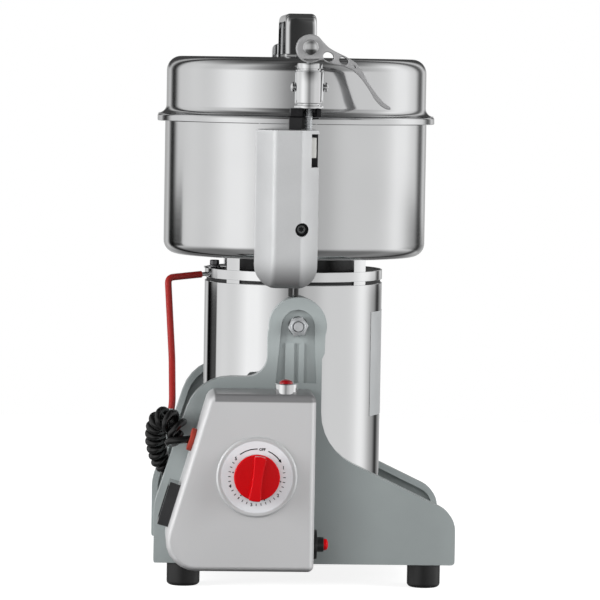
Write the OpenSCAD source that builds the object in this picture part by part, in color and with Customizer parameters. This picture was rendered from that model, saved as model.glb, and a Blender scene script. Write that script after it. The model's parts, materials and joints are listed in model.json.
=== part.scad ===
// Electric grain mill: a bowl, a lid and a motor that swing as one between two cast uprights,
// with a timer box on the near upright. +X is right, +Y is away from the timer, +Z is up.
// The origin is where the mill's own axis meets the surface that the feet stand on.

/* [Uprights and base] */
// Height of the swing axis above the surface
pivot_h = 217; // [205:1:240]
// Gap between the motor shell and an upright
upright_gap = 4.5; // [4:0.5:14]
// Thickness of an upright
upright_t = 15; // [12:0.5:20]
// Wall of an upright round its hollow inner side
upright_wall = 5; // [3:0.5:8]
// Radius of an upright's round head
head_r = 24; // [22:0.5:28]
// Half width of an upright's neck
neck_half = 20.3; // [18:0.1:22]
// Left end of the base
base_left = -117; // [-125:1:-110]
// Right end of the base
base_right = 133.7; // [125:1:145]
// Height of the rubber feet
foot_h = 19; // [12:1:25]
// Diameter of the rubber feet
foot_d = 27.5; // [20:0.5:34]
// Height of the base tray's walls
tray_h = 28; // [15:1:34]
// Wall of the base tray
tray_wall = 4; // [2.5:0.5:6]
// Diameter of the swing studs
stud_d = 8; // [6:0.5:10]
// Outside diameter of the swing bushes
bush_d = 13; // [12:0.5:16]
// Width of a swing nut across its flats
nut_af = 15; // [13:0.5:18]
// Height of a swing nut
nut_h = 9; // [8:0.5:12]
// Depth of the pocket round a swing nut
nut_pocket = 3; // [1:0.5:4]

/* [Motor] */
// Outside diameter of the motor shell
shell_d = 151; // [140:1:170]
// Wall of the motor shell
shell_wall = 1.2; // [0.8:0.1:2]
// Length of the motor shell
shell_h = 172; // [150:1:176]
// Height of the shell's top above the swing axis
shell_over = 32.5; // [30:0.5:40]
// Height of the vent collar between shell and bowl
collar_h = 22.5; // [20:0.5:28]
// Height of the collar's band
band_h = 8.2; // [6:0.2:9]
// Width of the collar's upright tabs
tab_w = 14.5; // [8:0.5:20]
// Diameter of the mill spindle
spindle_d = 14; // [12:0.5:18]
// Diameter of the armature
armature_d = 76; // [60:1:84]
// Height of the stator's stack
stack_h = 60; // [50:1:70]

/* [Bowl and lid] */
// Outside diameter of the bowl
bowl_d = 222; // [210:1:224]
// Height of the bowl
bowl_h = 116; // [100:1:130]
// Wall of the bowl and lid
bowl_wall = 1.5; // [1:0.1:2.5]
// Radius of the bowl's bottom corner
bowl_corner = 16; // [10:0.5:22]
// Outside diameter of the lid's flange
flange_d = 235.2; // [233:0.2:270]
// Height of the lid from flange to top
lid_h = 48.3; // [40:0.5:56]
// Radius of the lid's top corner
lid_corner = 12; // [8:0.5:16]
// Width of the lid's strap handle
strap_w = 26; // [20:0.5:32]
// Length of the strap handle's top
strap_len = 150; // [120:1:160]
// Height of the strap handle
strap_h = 38; // [34:0.5:44]
// Thickness of the strap handle
strap_t = 5; // [4:0.5:7]
// Radius of the cutters
cutter_r = 98; // [80:1:102]

/* [Catch] */
// Position of the catch's axis to the right of the mill's axis
catch_x = 4.5; // [3:0.5:6]
// Distance of the catch's axis in front of the lid's flange
catch_out = 9.4; // [9:0.2:12]
// Diameter of the catch rod
rod_d = 6.2; // [5:0.1:6.6]
// Diameter of the catch barrel
barrel_d = 24; // [22:0.5:25]
// Height of the catch barrel
barrel_h = 26.5; // [22:0.5:30]
// Radius of the lever's cam
cam_r = 11.7; // [10:0.1:12]
// Thickness of the lever
lever_t = 14; // [12:0.5:16]
// Height of the cast handle
grip_h = 128.4; // [120:0.2:134]
// Width of the cast handle
grip_w = 50.4; // [49:0.2:56]
// Distance of the cast handle's front from the catch's axis
grip_out = 38; // [34:0.5:44]

/* [Timer box] */
// Depth of the box
box_depth = 60; // [57:0.5:70]
// Height of the box's top
box_top = 165; // [160:0.5:170]
// Height of the box's bottom
box_bottom = 20; // [19:0.5:24]
// Right side of the box
box_right = 12.9; // [10:0.5:16]
// Wall of the box
box_wall = 2.5; // [2:0.1:3.5]
// Width of the bevel round the box's front
box_bevel = 4.5; // [3:0.5:7]
// Diameter of the timer dial
dial_d = 66; // [60:0.5:70]
// Diameter of the knob
knob_d = 37.5; // [32:0.5:42]
// Height of the knob
knob_h = 17; // [14:0.5:20]
// Height of the dial's centre
dial_z = 98; // [92:0.5:104]
// Distance of the dial's centre to the left of the mill's axis
dial_x = 34.7; // [30:0.5:40]

/* [Fits] */
// Gap between parts that slide or turn past each other
slide_gap = 0.3; // [0.2:0.05:0.5]
// Radial clearance of a shaft in its bearing
shaft_gap = 0.05; // [0.02:0.01:0.1]
// Gap between fixed parts with curved faces
weld_gap = 0.05; // [0.02:0.01:0.1]

/* [Hidden] */

// Fineness of round shapes
$fn = 96;
fine = 48;
coarse = 24;
eps = 0.01; // overlap of joined shapes within one solid
past = 1;   // how far a cut runs past the face it opens

// Colours
cast_grey = [0.50, 0.53, 0.53];
silver = [0.72, 0.72, 0.72];
steel = [0.80, 0.81, 0.82];
dark_steel = [0.42, 0.42, 0.44];
black = [0.07, 0.07, 0.07];
red = [0.78, 0.02, 0.08];
copper = [0.72, 0.42, 0.20];
white = [0.92, 0.92, 0.90];
graphite = [0.20, 0.20, 0.21];

// Heights of the swinging mill, from the motor up to the lid
shell_r = shell_d / 2;
shell_in = shell_r - shell_wall;
upright_in = shell_r + upright_gap;   // from the mill's axis to an upright's inner face
shell_top = pivot_h + shell_over;
shell_low = shell_top - shell_h;
bowl_z = shell_top + collar_h;
bowl_r = bowl_d / 2;
rim_z = bowl_z + bowl_h;
band_top = bowl_z - 11.5;
flange_r = flange_d / 2;
catch_y = flange_r + catch_out;       // from the mill's axis to the catch's
grip_front = catch_y + grip_out;      // and to the cast handle's front
gasket_t = 1;
flange_z = rim_z + slide_gap + gasket_t;
lid_r = bowl_r - 0.8;
lid_top = flange_z + bowl_wall + lid_h;
lip_h = 5;
lid_fillet = 7;
fillet_end = 0.6; // the fillet stops this far short of its tangent points

// Rounded polygons. Corners are listed anticlockwise; wall moves every side inwards.
function unit(v) = v / norm(v);
function inward(a, b) = let (u = unit(b - a)) [-u[1], u[0]];
function crossing(p, u, q, v) = p + u * ((q - p)[0] * v[1] - (q - p)[1] * v[0]) / (u[0] * v[1] - u[1] * v[0]);
function inset_corner(c, i, wall) =
    let (n = len(c), a = c[(i + n - 1) % n], b = c[i], d = c[(i + 1) % n],
         p = a + inward(a, b) * wall, q = b + inward(b, d) * wall)
    crossing(p, b - a, q, d - b);
function fillet(a, b, c, r, steps) =
    let (u = unit(a - b), v = unit(c - b), half = acos(max(-1, min(1, u * v))) / 2,
         t = r / tan(half), from = b + u * t, to = b + v * t,
         centre = b + unit(u + v) * r / sin(half))
    [for (k = [0:steps])
        let (f = k / steps, sweep = 180 - 2 * half, s = from - centre,
             turn = sign(s[0] * (to - centre)[1] - s[1] * (to - centre)[0]) * sweep * f)
        centre + [s[0] * cos(turn) - s[1] * sin(turn), s[0] * sin(turn) + s[1] * cos(turn)]];
function turn_of(a, b, c) = (b - a)[0] * (c - b)[1] - (b - a)[1] * (c - b)[0];
function rounded(corners, radii, wall = 0, steps = 6) =
    let (n = len(corners), p = [for (i = [0:n - 1]) inset_corner(corners, i, wall)])
    [for (i = [0:n - 1])
        let (a = p[(i + n - 1) % n], b = p[i], c = p[(i + 1) % n],
             r = turn_of(a, b, c) > 0 ? max(0.5, radii[i] - wall) : radii[i] + wall)
        each fillet(a, b, c, r, steps)];

// Turns a drawing in X and Z into a solid that starts at y and runs away by depth
module along_y(y, depth) translate([0, y + depth, 0]) rotate([90, 0, 0]) linear_extrude(depth) children();
// Turns a drawing in Y and Z into a solid centred on X = 0
module across_x(width) translate([-width / 2, 0, 0]) rotate([90, 0, 90]) linear_extrude(width) children();
// A round bar along Y that starts at y and runs away by depth
module bar_y(x, z, y, r, depth) translate([x, y, z]) rotate([-90, 0, 0]) cylinder(r = r, h = depth);
module mirrored_y() for (s = [0, 1]) mirror([0, s, 0]) children();
module ring(r_out, r_in, z, h) translate([0, 0, z]) difference() {
    cylinder(r = r_out, h = h);
    translate([0, 0, -past]) cylinder(r = r_in, h = h + 2 * past);
}

// ---- Base ----
stud_r = stud_d / 2;
bush_r = bush_d / 2;
near_in = -upright_in;
near_out = near_in - upright_t;
shoulder_z = 174.5;   // top of the upright's left shoulder
shoulder_x = -82.8;   // left end of that shoulder, before it is rounded
knee = [-115.5, 68];  // where the left edge turns upright
saddle = [neck_half, 115.8]; // where the right slope meets the neck
slope_end_z = 61.5;   // height of the right slope at the base's right end
step_z = pivot_h - 27;       // a small step below the head
neck_z = pivot_h;
upright_corners = [
    [base_left, foot_h], [base_right, foot_h], [base_right, slope_end_z], saddle,
    [neck_half, step_z], [head_r - 1.5, step_z + 5], [head_r - 1, neck_z], [-head_r - 0.9, neck_z + 4],
    [-head_r - 0.9, shoulder_z], [shoulder_x, shoulder_z], [base_left, knee[1]]];
upright_radii = [1.5, 3, 22, 48, 3, 3, 3, 10, 17, 38, 40];

module upright_face(wall = 0) {
    polygon(rounded(upright_corners, upright_radii, wall));
    translate([0, pivot_h]) circle(head_r - wall);
}
screw_r = 2;
screw_hole_r = screw_r + 0.1;
screw_head_r = 4;
screw_head_h = 3;
foot_screw_in = 10;  // how far a foot's screw reaches into an upright
tray_screw_in = 7;   // and how far a tray screw does
tray_screw_x = [base_left + 50, base_right - 50];
tray_screw_z = foot_h + tray_h / 2;
tray_gap = 4;       // from the tray's ends to those of the uprights
rib_t = 5;          // ribs inside an upright
screw_boss_r = 8;   // bosses that take the base screws
foot_y = upright_in + 5;
foot_left = base_left + 25;
foot_right = base_right - 25.1;
foot_places = [for (x = [foot_left, foot_right], s = [-1, 1]) [x, s * foot_y]];
pocket_r = 13.8;    // pocket round the swing nut
pocket_low = 170;   // lower end of that pocket
pocket_x = [-18, 16];    // and its two sides there
rail_w = [7.4, 4.5];     // widths of the two upright ribs below the nut
rail_x = [-10.2, 1];     // and where they start
rail_h = 1.2;
rail_top = 14;      // from the swing axis down to the ribs' upper ends

// The near upright; the far one is its mirror image
module upright() {
    difference() {
        along_y(near_out, upright_t) upright_face();
        along_y(near_out + upright_wall, upright_t) difference() {
            upright_face(upright_wall);
            translate([0, pivot_h]) circle(bush_r + upright_wall);
            for (x = [foot_left, foot_right]) translate([x - screw_boss_r, 0]) square([2 * screw_boss_r, foot_h + 18]);
            translate([-rib_t / 2, 0]) square([rib_t, pivot_h]);
            translate([base_left, foot_h + tray_h]) square([base_right - base_left, rib_t]);
            for (x = tray_screw_x) translate([x, tray_screw_z]) circle(screw_boss_r);
        }
        // the pocket that the swing nut sits in
        along_y(near_out - past, nut_pocket + past) {
            translate([0, pivot_h]) circle(pocket_r);
            polygon([[-pocket_r, pivot_h], [pocket_x[0], pocket_low], [pocket_x[1], pocket_low], [pocket_r, pivot_h]]);
        }
        bar_y(0, pivot_h, near_out - past, bush_r + weld_gap, upright_t + 2 * past);
        for (x = [foot_left, foot_right]) translate([x, -foot_y, foot_h - past]) cylinder(r = screw_hole_r, h = foot_screw_in + 2 + past, $fn = fine);
        for (x = tray_screw_x) bar_y(x, tray_screw_z, near_in - tray_screw_in - past, screw_hole_r, upright_t);
        for (p = box_screw_places) bar_y(p[0], p[1], near_out - past, screw_hole_r, upright_t + 2 * past);
    }
    for (i = [0, 1]) along_y(near_out + nut_pocket - rail_h, rail_h + eps)
        translate([rail_x[i], pocket_low]) square([rail_w[i], pivot_h - rail_top - pocket_low]);
}
module near_upright() color(cast_grey) upright();
module far_upright() color(cast_grey) mirror([0, 1, 0]) upright();

tray_len = base_right - base_left - 2 * tray_gap;
module base_tray() color(cast_grey) difference() {
    translate([base_left + tray_gap, near_in, foot_h]) cube([tray_len, 2 * upright_in, tray_h]);
    translate([base_left + tray_gap + tray_wall, near_in + tray_wall, foot_h + tray_wall])
        cube([tray_len - 2 * tray_wall, 2 * (upright_in - tray_wall), tray_h]);
    for (x = tray_screw_x) bar_y(x, tray_screw_z, near_in - past, screw_hole_r, 2 * (upright_in + past));
}

foot_edge = 2;      // rounding round a foot's bottom
module rubber_feet() color(black) for (p = foot_places) translate([p[0], p[1], 0]) difference() {
    rotate_extrude() difference() {
        union() {
            square([foot_d / 2 - foot_edge, foot_h]);
            translate([0, foot_edge]) square([foot_d / 2, foot_h - foot_edge]);
            translate([foot_d / 2 - foot_edge, foot_edge]) circle(foot_edge, $fn = coarse);
        }
        translate([-foot_d, -past]) square([foot_d, foot_h + 2 * past]);
    }
    translate([0, 0, -past]) cylinder(r = screw_head_r + 2, h = foot_h / 2 + past, $fn = fine);
    translate([0, 0, -past]) cylinder(r = screw_hole_r, h = foot_h + 2 * past, $fn = fine);
}

// Four screws hold the feet, and four hold the tray between the uprights
module base_screws() color(dark_steel) {
    for (p = foot_places) translate([p[0], p[1], foot_h / 2 - screw_head_h]) {
        cylinder(r = screw_head_r, h = screw_head_h, $fn = fine);
        cylinder(r = screw_r, h = screw_head_h + foot_h / 2 + foot_screw_in, $fn = fine);
    }
    mirrored_y() for (x = tray_screw_x) {
        bar_y(x, tray_screw_z, near_in - tray_screw_in, screw_r, tray_screw_in + tray_wall + eps);
        bar_y(x, tray_screw_z, near_in + tray_wall, screw_head_r, screw_head_h);
    }
}

module pivot_bushes() color(copper) for (s = [0, 1]) mirror([0, s, 0]) difference() {
    bar_y(0, pivot_h, near_out + nut_pocket, bush_r, upright_t - nut_pocket);
    bar_y(0, pivot_h, near_out, stud_r + shaft_gap, upright_t + past);
}

// ---- Timer box ----
box_front = box_depth - near_out;
box_y = -box_front + box_depth / 2;      // middle of the box in depth
slant_top = [-75, 160];                  // two points on the slanted left side
slant_low = [-109, 45];
slant = atan((slant_top[0] - slant_low[0]) / (slant_top[1] - slant_low[1]));
function slant_x(z) = slant_top[0] - (slant_top[1] - z) * tan(slant);
box_corners = [
    [slant_x(box_bottom), box_bottom], [box_right, box_bottom], [box_right, box_top], [slant_x(box_top), box_top]];
box_radii = [25, 5, 5, 9];
module box_face(wall = 0) polygon(rounded(box_corners, box_radii, wall, 7));
// Stands a shape on the slanted side: its X runs up the side and its Z points out
module on_slant(z) translate([slant_x(z), box_y, z]) rotate([0, slant - 90, 0]) children();

grommet_z = 124.6;
grommet_r = 9.5;
grommet_t = 4;
inlet_z = 71.6;
inlet_size = [36, 28, 9];
inlet_hole = [28, 21];
breaker_z = 39.5;
breaker_r = [12.3, 6.1];
breaker_h = [3, 6.4];
breaker_neck_r = 8;
breaker_in = 22;     // how far the breaker reaches into the box
button_r = 4.75;
button_out = 3.9;
button_gap = 0.15;
lamp_x = -11.4;
lamp_y = -box_front + 14;
lamp_r = 9.2;
lamp_h = [3, 5.5];
box_screw_places = [[-60, 148], [-9, 146], [-88, 42], [-9, 60]];
boss_r = 4.5;
box_screw_in = 12;   // how far a box screw reaches into its boss
stem = 2.5;          // step from a fitting's flange to the neck that passes the box's wall
timer_size = [46, 46, 28];
timer_y = -box_front + box_wall;
neck_r = 4.5;   // the timer's round neck through the box's front
dial_t = 2;

module box_body(wall) {
    front = -box_front + wall;
    along_y(front + box_bevel, box_depth - box_bevel + (wall > 0 ? past : 0)) box_face(wall);
    hull() {
        along_y(front, eps) box_face(wall + box_bevel);
        along_y(front + box_bevel, eps) box_face(wall);
    }
}
module timer_box() color(silver) difference() {
    union() {
        difference() {
            box_body(0);
            box_body(box_wall);
        }
        for (p = box_screw_places) bar_y(p[0], p[1], -box_front + box_wall - eps, boss_r, box_depth - box_wall - 1);
    }
    for (p = box_screw_places) bar_y(p[0], p[1], near_out - box_screw_in - 2, screw_hole_r, box_screw_in + 2 + past);
    bar_y(-dial_x, dial_z, -box_front - past, neck_r + weld_gap, box_wall + 2 * past);
    on_slant(grommet_z) cylinder(r = grommet_r - stem, h = 3 * box_wall, center = true);
    on_slant(inlet_z) cube([inlet_size[0] - 4, inlet_size[1] - 4, 3 * box_wall], center = true);
    translate([box_right, box_y, breaker_z]) rotate([0, 90, 0]) cylinder(r = breaker_neck_r, h = 3 * box_wall, center = true);
    translate([lamp_x, lamp_y, box_top]) cylinder(r = lamp_r - stem, h = 3 * box_wall, center = true);
}

module box_screws() color(dark_steel) for (p = box_screw_places) {
    bar_y(p[0], p[1], near_out + upright_wall, screw_head_r, screw_head_h);
    bar_y(p[0], p[1], near_out - box_screw_in, screw_r, box_screw_in + upright_wall + eps);
}

module dial_plate() color(silver) difference() {
    bar_y(-dial_x, dial_z, -box_front - dial_t, dial_d / 2, dial_t);
    bar_y(-dial_x, dial_z, -box_front - dial_t - past, neck_r + weld_gap, dial_t + 2 * past);
}

module timer_body() color(white) difference() {
    union() {
        translate([-dial_x - timer_size[0] / 2, timer_y, dial_z - timer_size[1] / 2]) cube([timer_size[0], timer_size[2], timer_size[1]]);
        bar_y(-dial_x, dial_z, -box_front - dial_t, neck_r, dial_t + box_wall + eps);
    }
    bar_y(-dial_x, dial_z, -box_front - dial_t - past, shaft_r + shaft_gap, dial_t + box_wall + 16 + past);
}

lamp_low = box_top - box_wall - 10;
lamp_top = box_top + lamp_h[0] + lamp_h[1];
lens_r = 5.6;
lens_low = box_top - 8;
module lamp_bezel() color(steel) translate([lamp_x, lamp_y, 0]) difference() {
    union() {
        translate([0, 0, box_top]) cylinder(r = lamp_r, h = lamp_h[0]);
        translate([0, 0, box_top + lamp_h[0]]) cylinder(r1 = lamp_r, r2 = lamp_r - 0.6, h = lamp_h[1]);
        translate([0, 0, lamp_low]) cylinder(r = lamp_r - stem - weld_gap, h = box_top - lamp_low + eps);
    }
    translate([0, 0, lamp_low - past]) cylinder(r = lens_r + weld_gap, h = lamp_top - lamp_low + 2 * past);
}
module lamp_lens() color(red) translate([lamp_x, lamp_y, 0]) {
    translate([0, 0, lens_low]) cylinder(r = lens_r, h = lamp_top - lens_low);
    translate([0, 0, lamp_top - eps]) rotate_extrude() intersection() {
        circle(lens_r);
        square([lens_r, lens_r * 0.6]);
    }
}

inlet_in = 18;     // how far the inlet reaches into the box
inlet_deep = 14;   // how far its recess goes past the box's side
pin_r = 1.5;
pin_len = 22;
inlet_pin_places = [[4, 0], [-4, -6.5], [-4, 6.5]];
module inlet_frame() color(black) on_slant(inlet_z) difference() {
    union() {
        translate([0, 0, inlet_size[2] / 2]) cube(inlet_size, center = true);
        translate([0, 0, -inlet_in / 2]) cube([inlet_size[0] - 4 - 2 * slide_gap, inlet_size[1] - 4 - 2 * slide_gap, inlet_in + eps], center = true);
    }
    translate([0, 0, (inlet_size[2] - inlet_deep) / 2]) cube([inlet_hole[0], inlet_hole[1], inlet_size[2] + inlet_deep + eps], center = true);
    for (p = inlet_pin_places) translate([p[0], p[1], -inlet_in - past]) cylinder(r = pin_r + weld_gap, h = 10, $fn = coarse);
}
module inlet_pins() color(steel) on_slant(inlet_z) for (p = inlet_pin_places)
    translate([p[0], p[1], -pin_len]) cylinder(r = pin_r, h = pin_len, $fn = coarse);

module overload_breaker() color(black) translate([box_right, box_y, breaker_z]) rotate([0, 90, 0]) difference() {
    union() {
        cylinder(r = breaker_r[0], h = breaker_h[0]);
        cylinder(r = breaker_r[1], h = breaker_h[0] + breaker_h[1]);
        translate([0, 0, -box_wall - breaker_in]) cylinder(r = breaker_neck_r - weld_gap, h = box_wall + breaker_in + eps);
    }
    translate([0, 0, -button_well]) cylinder(r = button_r + button_gap, h = button_well + breaker_h[0] + breaker_h[1] + past, $fn = fine);
}
button_in = 4;      // length of the button behind the box's side
button_well = 10;   // and depth of the hole that it runs in
button_dome = 8;    // radius of its domed end
module reset_button() color(red) translate([box_right, box_y, breaker_z]) rotate([0, 90, 0]) rotate_extrude() {
    translate([0, -button_in]) square([button_r, button_in + breaker_h[0] + breaker_h[1] + button_out - 1.5]);
    intersection() {
        translate([0, breaker_h[0] + breaker_h[1] + button_out - button_dome]) circle(button_dome);
        translate([0, breaker_h[0] + breaker_h[1]]) square([button_r, button_out]);
    }
}

module cord_grommet() color(red) on_slant(grommet_z) difference() {
    union() {
        cylinder(r = grommet_r, h = grommet_t);
        translate([0, 0, -box_wall - 3]) cylinder(r = grommet_r - stem - weld_gap, h = box_wall + 3 + eps);
    }
    translate([0, 0, -box_wall - 3 - past]) cylinder(r = cord_r + weld_gap, h = box_wall + 3 + grommet_t + 2 * past);
}

shaft_r = 3;
shaft_in = 14;  // length of the shaft inside the timer
shaft_out = 10; // and inside the knob
knob_y = -box_front - dial_t - slide_gap;
knob_plate = 4.7;
grip_half = 5.2;
grip_waist = 3.9;
waist_r = 90;
knob_tilt = 8; // the grip bar points at OFF, a little right of the top
module timer_shaft() color(steel)
    bar_y(-dial_x, dial_z, knob_y - shaft_out, shaft_r, shaft_out + slide_gap + dial_t + box_wall + shaft_in);
module timer_knob() color(red) translate([-dial_x, knob_y, dial_z]) rotate([90, 0, 0]) difference() {
    union() {
        cylinder(r = knob_d / 2, h = knob_plate);
        rotate(-knob_tilt) linear_extrude(knob_h) intersection() {
            circle(knob_d / 2 - 0.4);
            difference() {
                square([2 * grip_half, knob_d], center = true);
                for (s = [-1, 1]) translate([s * (grip_waist + waist_r), 0]) circle(waist_r);
            }
        }
    }
    translate([0, 0, -past]) cylinder(r = shaft_r + 0.02, h = shaft_out + 0.1 + past);
}

// ---- Swinging mill: motor ----
saddle_r = 18;
saddle_t = 14;
nut_flange_t = 1.5;
stud_len = upright_in + upright_t - nut_pocket + nut_h + 1.5;
module pivot_studs() color(dark_steel) mirrored_y() {
    difference() {
        bar_y(0, pivot_h, near_in + slide_gap, saddle_r, saddle_t);
        translate([0, 0, pivot_h - 2 * saddle_r]) cylinder(r = shell_r + weld_gap, h = 4 * saddle_r);
    }
    bar_y(0, pivot_h, -stud_len, stud_r, stud_len - upright_in + slide_gap + eps);
}
nut_y = near_out + nut_pocket - slide_gap;  // the face that a nut turns against
module pivot_nuts() color(steel) mirrored_y() difference() {
    union() {
        bar_y(0, pivot_h, nut_y - nut_flange_t, nut_af / 2 + 1.8, nut_flange_t);
        translate([0, nut_y - nut_flange_t + eps, pivot_h]) rotate([90, 0, 0])
            cylinder(r = nut_af / 2 / cos(30), h = nut_h - nut_flange_t - 2, $fn = 6);
        bar_y(0, pivot_h, nut_y - nut_h, nut_af / 2 - 1.2, nut_h - nut_flange_t);
    }
    bar_y(0, pivot_h, nut_y - nut_h - past, stud_r + weld_gap, nut_h + 2 * past);
}

module motor_shell() color(steel) ring(shell_r, shell_in, shell_low, shell_h);

cap_h = 4;
cap_z = shell_low + 2;
vent_count = 12;
vent_at = 52;          // distance of the slots from the axis
vent_size = [20, 5];
gland_at = [-20, -22]; // where the cord enters the motor
gland_h = 8;
module bottom_cap() color(black) difference() {
    union() {
        translate([0, 0, cap_z]) cylinder(r = shell_in - weld_gap, h = cap_h);
        translate([gland_at[0], gland_at[1], cap_z - gland_h]) cylinder(r1 = cord_r + 2, r2 = cord_r + 4, h = gland_h + eps, $fn = fine);
    }
    for (k = [0:vent_count - 1]) rotate(k * 360 / vent_count + 15) translate([vent_at, 0, cap_z - past])
        linear_extrude(cap_h + 2 * past) {
            square(vent_size, center = true);
            for (s = [-1, 1]) translate([s * vent_size[0] / 2, 0]) circle(vent_size[1] / 2, $fn = coarse);
        }
    translate([gland_at[0], gland_at[1], cap_z - gland_h - past]) cylinder(r = cord_r + weld_gap, h = 5 + past, $fn = fine);
}

core_low = shell_low + 59;
core_bore = armature_d / 2 + 1;
coil_size = [47, 10, 24]; // width and thickness of a field coil, and its overhang past the stack
coil_at = armature_d / 2 + 9;
module stator() color(dark_steel) difference() {
    ring(shell_in - slide_gap, core_bore, core_low, stack_h);
    for (k = [0, 1]) rotate(180 * k) translate([0, coil_at, core_low + stack_h / 2])
        cube([coil_size[0] + 2 * slide_gap, coil_size[1] + 2 * slide_gap, stack_h + 2 * past], center = true);
}
module field_coils() color(copper) for (k = [0, 1]) rotate(180 * k)
    translate([0, coil_at, core_low + stack_h / 2]) cube([coil_size[0], coil_size[1], stack_h + coil_size[2]], center = true);

bearing_low_z = shell_low + 20;
bearing_top_z = shell_top + 4;
bearing_out = 16;
bearing_h = 9;
module bearings() color(steel) for (z = [bearing_low_z, bearing_top_z])
    ring(bearing_out, spindle_d / 2 + shaft_gap, z, bearing_h);

spoke_w = 12;
module lower_end_frame() color(dark_steel) difference() {
    union() {
        ring(shell_in - weld_gap, shell_in - 5, bearing_low_z, bearing_h + 3);
        for (k = [0:2]) rotate(60 * k) translate([-shell_in + 3, -spoke_w / 2, bearing_low_z]) cube([2 * shell_in - 6, spoke_w, bearing_h + 3]);
        translate([0, 0, bearing_low_z]) cylinder(r = bearing_out + 5, h = bearing_h + 3);
    }
    translate([0, 0, bearing_low_z - past]) cylinder(r = bearing_out + weld_gap, h = bearing_h + past);
    translate([0, 0, bearing_low_z]) cylinder(r = spindle_d / 2 + 2, h = bearing_h + 4);
}
frame_r = shell_in - 0.3;
hub_r = 52;
frame_z = shell_top - 1;
frame_h = band_top - frame_z - 0.5;
module upper_end_frame() color(black) difference() {
    union() {
        translate([0, 0, frame_z]) cylinder(r = frame_r, h = frame_h);
        translate([0, 0, frame_z]) cylinder(r = hub_r, h = bowl_z - frame_z);
    }
    translate([0, 0, bearing_top_z - 8]) cylinder(r = bearing_out + weld_gap, h = bearing_h + 8);
    translate([0, 0, bearing_top_z]) cylinder(r = spindle_d / 2 + 2, h = 40);
}
end_turns = 10;      // how far the armature's winding stands out at each end
end_turns_in = 9;    // and how much smaller it is than the core
commutator_z = core_low + stack_h + 16;
commutator_r = 17;
commutator_h = 24;
brush = [14, 8, 10];
holder_h = 16;
holder_w = 14;
module brush_sets() color(graphite) for (k = [0, 1]) rotate(180 * k + 90) {
    translate([commutator_r + slide_gap, -brush[1] / 2, commutator_z + (holder_h - brush[2]) / 2 + 1]) cube(brush);
    translate([commutator_r + slide_gap + brush[0] - eps, -holder_w / 2, commutator_z + 1])
        cube([shell_in - commutator_r - brush[0] - 2 * slide_gap, holder_w, holder_h]);
}

tab_angle = 45;
ear_angle = 198;
ear_w = 16;
collar_ear_t = 1.5;
ear_out = 3;                     // how far the ear reaches past the band
ear_bolt_r = shell_r - 4;
collar_bolt_r = 5;
collar_bolt_h = 5.5;
module vent_collar() color(steel) {
    ring(shell_r, shell_in, band_top - band_h, band_h);
    intersection() {
        ring(shell_r, shell_in, shell_top, bowl_z - shell_top);
        for (k = [0:3]) rotate(tab_angle + 90 * k)
            translate([0, -tab_w / 2, shell_top]) cube([shell_r + past, tab_w, bowl_z - shell_top]);
    }
    // the ear that the collar bolt clamps
    translate([0, 0, band_top - eps]) intersection() {
        rotate(ear_angle) translate([shell_r + ear_out - ear_w, -ear_w / 2, 0]) cube([ear_w + past, ear_w, collar_ear_t + eps]);
        cylinder(r = shell_r + ear_out, h = 2 * collar_ear_t);
    }
}
module collar_bolt() color(dark_steel) rotate(ear_angle) translate([ear_bolt_r, 0, band_top + collar_ear_t])
    cylinder(r = collar_bolt_r, h = collar_bolt_h, $fn = 6);

spindle_seal_r = 15;
spindle_seal_h = 7;
module spindle_seal() color(black) ring(spindle_seal_r, spindle_d / 2 + slide_gap, bowl_z + bowl_wall, spindle_seal_h);

// ---- Rotor ----
spindle_low = cap_z + cap_h + 0.5;
cutter_z = [bowl_z + 16, bowl_z + 40];
spindle_top = cutter_z[1] + 16;
spindle_step = cutter_z[0] - 4;   // the spindle is thinner above this height
module spindle() color(steel) {
    translate([0, 0, spindle_low]) cylinder(r = spindle_d / 2, h = spindle_step - spindle_low);
    translate([0, 0, spindle_step - eps]) cylinder(r = spindle_d / 2 - 2, h = spindle_top - spindle_step);
}
module armature() color(copper) {
    ring(armature_d / 2, spindle_d / 2 + shaft_gap, core_low, stack_h);
    ring(armature_d / 2 - end_turns_in, spindle_d / 2 + shaft_gap, core_low - end_turns, stack_h + 2 * end_turns + 2);
    ring(commutator_r, spindle_d / 2 + shaft_gap, commutator_z - 5, commutator_h);
}
fan_blades = 9;
fan_hub_r = 12;
blade = [42, 2, 9];
module cooling_fan() color(black) translate([0, 0, spindle_low + 1]) {
    ring(fan_hub_r, spindle_d / 2 + shaft_gap, 0, 8);
    for (k = [0:fan_blades - 1]) rotate(k * 360 / fan_blades)
        translate([fan_hub_r - 0.5, -blade[1] / 2, 0]) rotate([30, 0, 0]) cube(blade);
}
cutter_t = 3;
cutter_w = [26, 24];   // widths of the lower and upper cutter bars
cutter_less = 18;      // how much shorter the upper one's arms are
cutter_turn = [12, 102];
dome_nut_r = [11, 8];
cutter_bore = spindle_d / 2 - 2 + shaft_gap;
spacer_r = 13;
module cutter_bar(r, w, z, turn) rotate(turn) translate([0, 0, z]) difference() {
    linear_extrude(cutter_t) {
        circle(w / 2 + 3);
        for (s = [0, 1]) rotate(180 * s) polygon([[0, -w / 2], [spacer_r, -w / 2], [r, -w / 8], [r, w / 2], [0, w / 2]]);
    }
    translate([0, 0, -past]) cylinder(r = cutter_bore, h = cutter_t + 2 * past);
}
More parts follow.
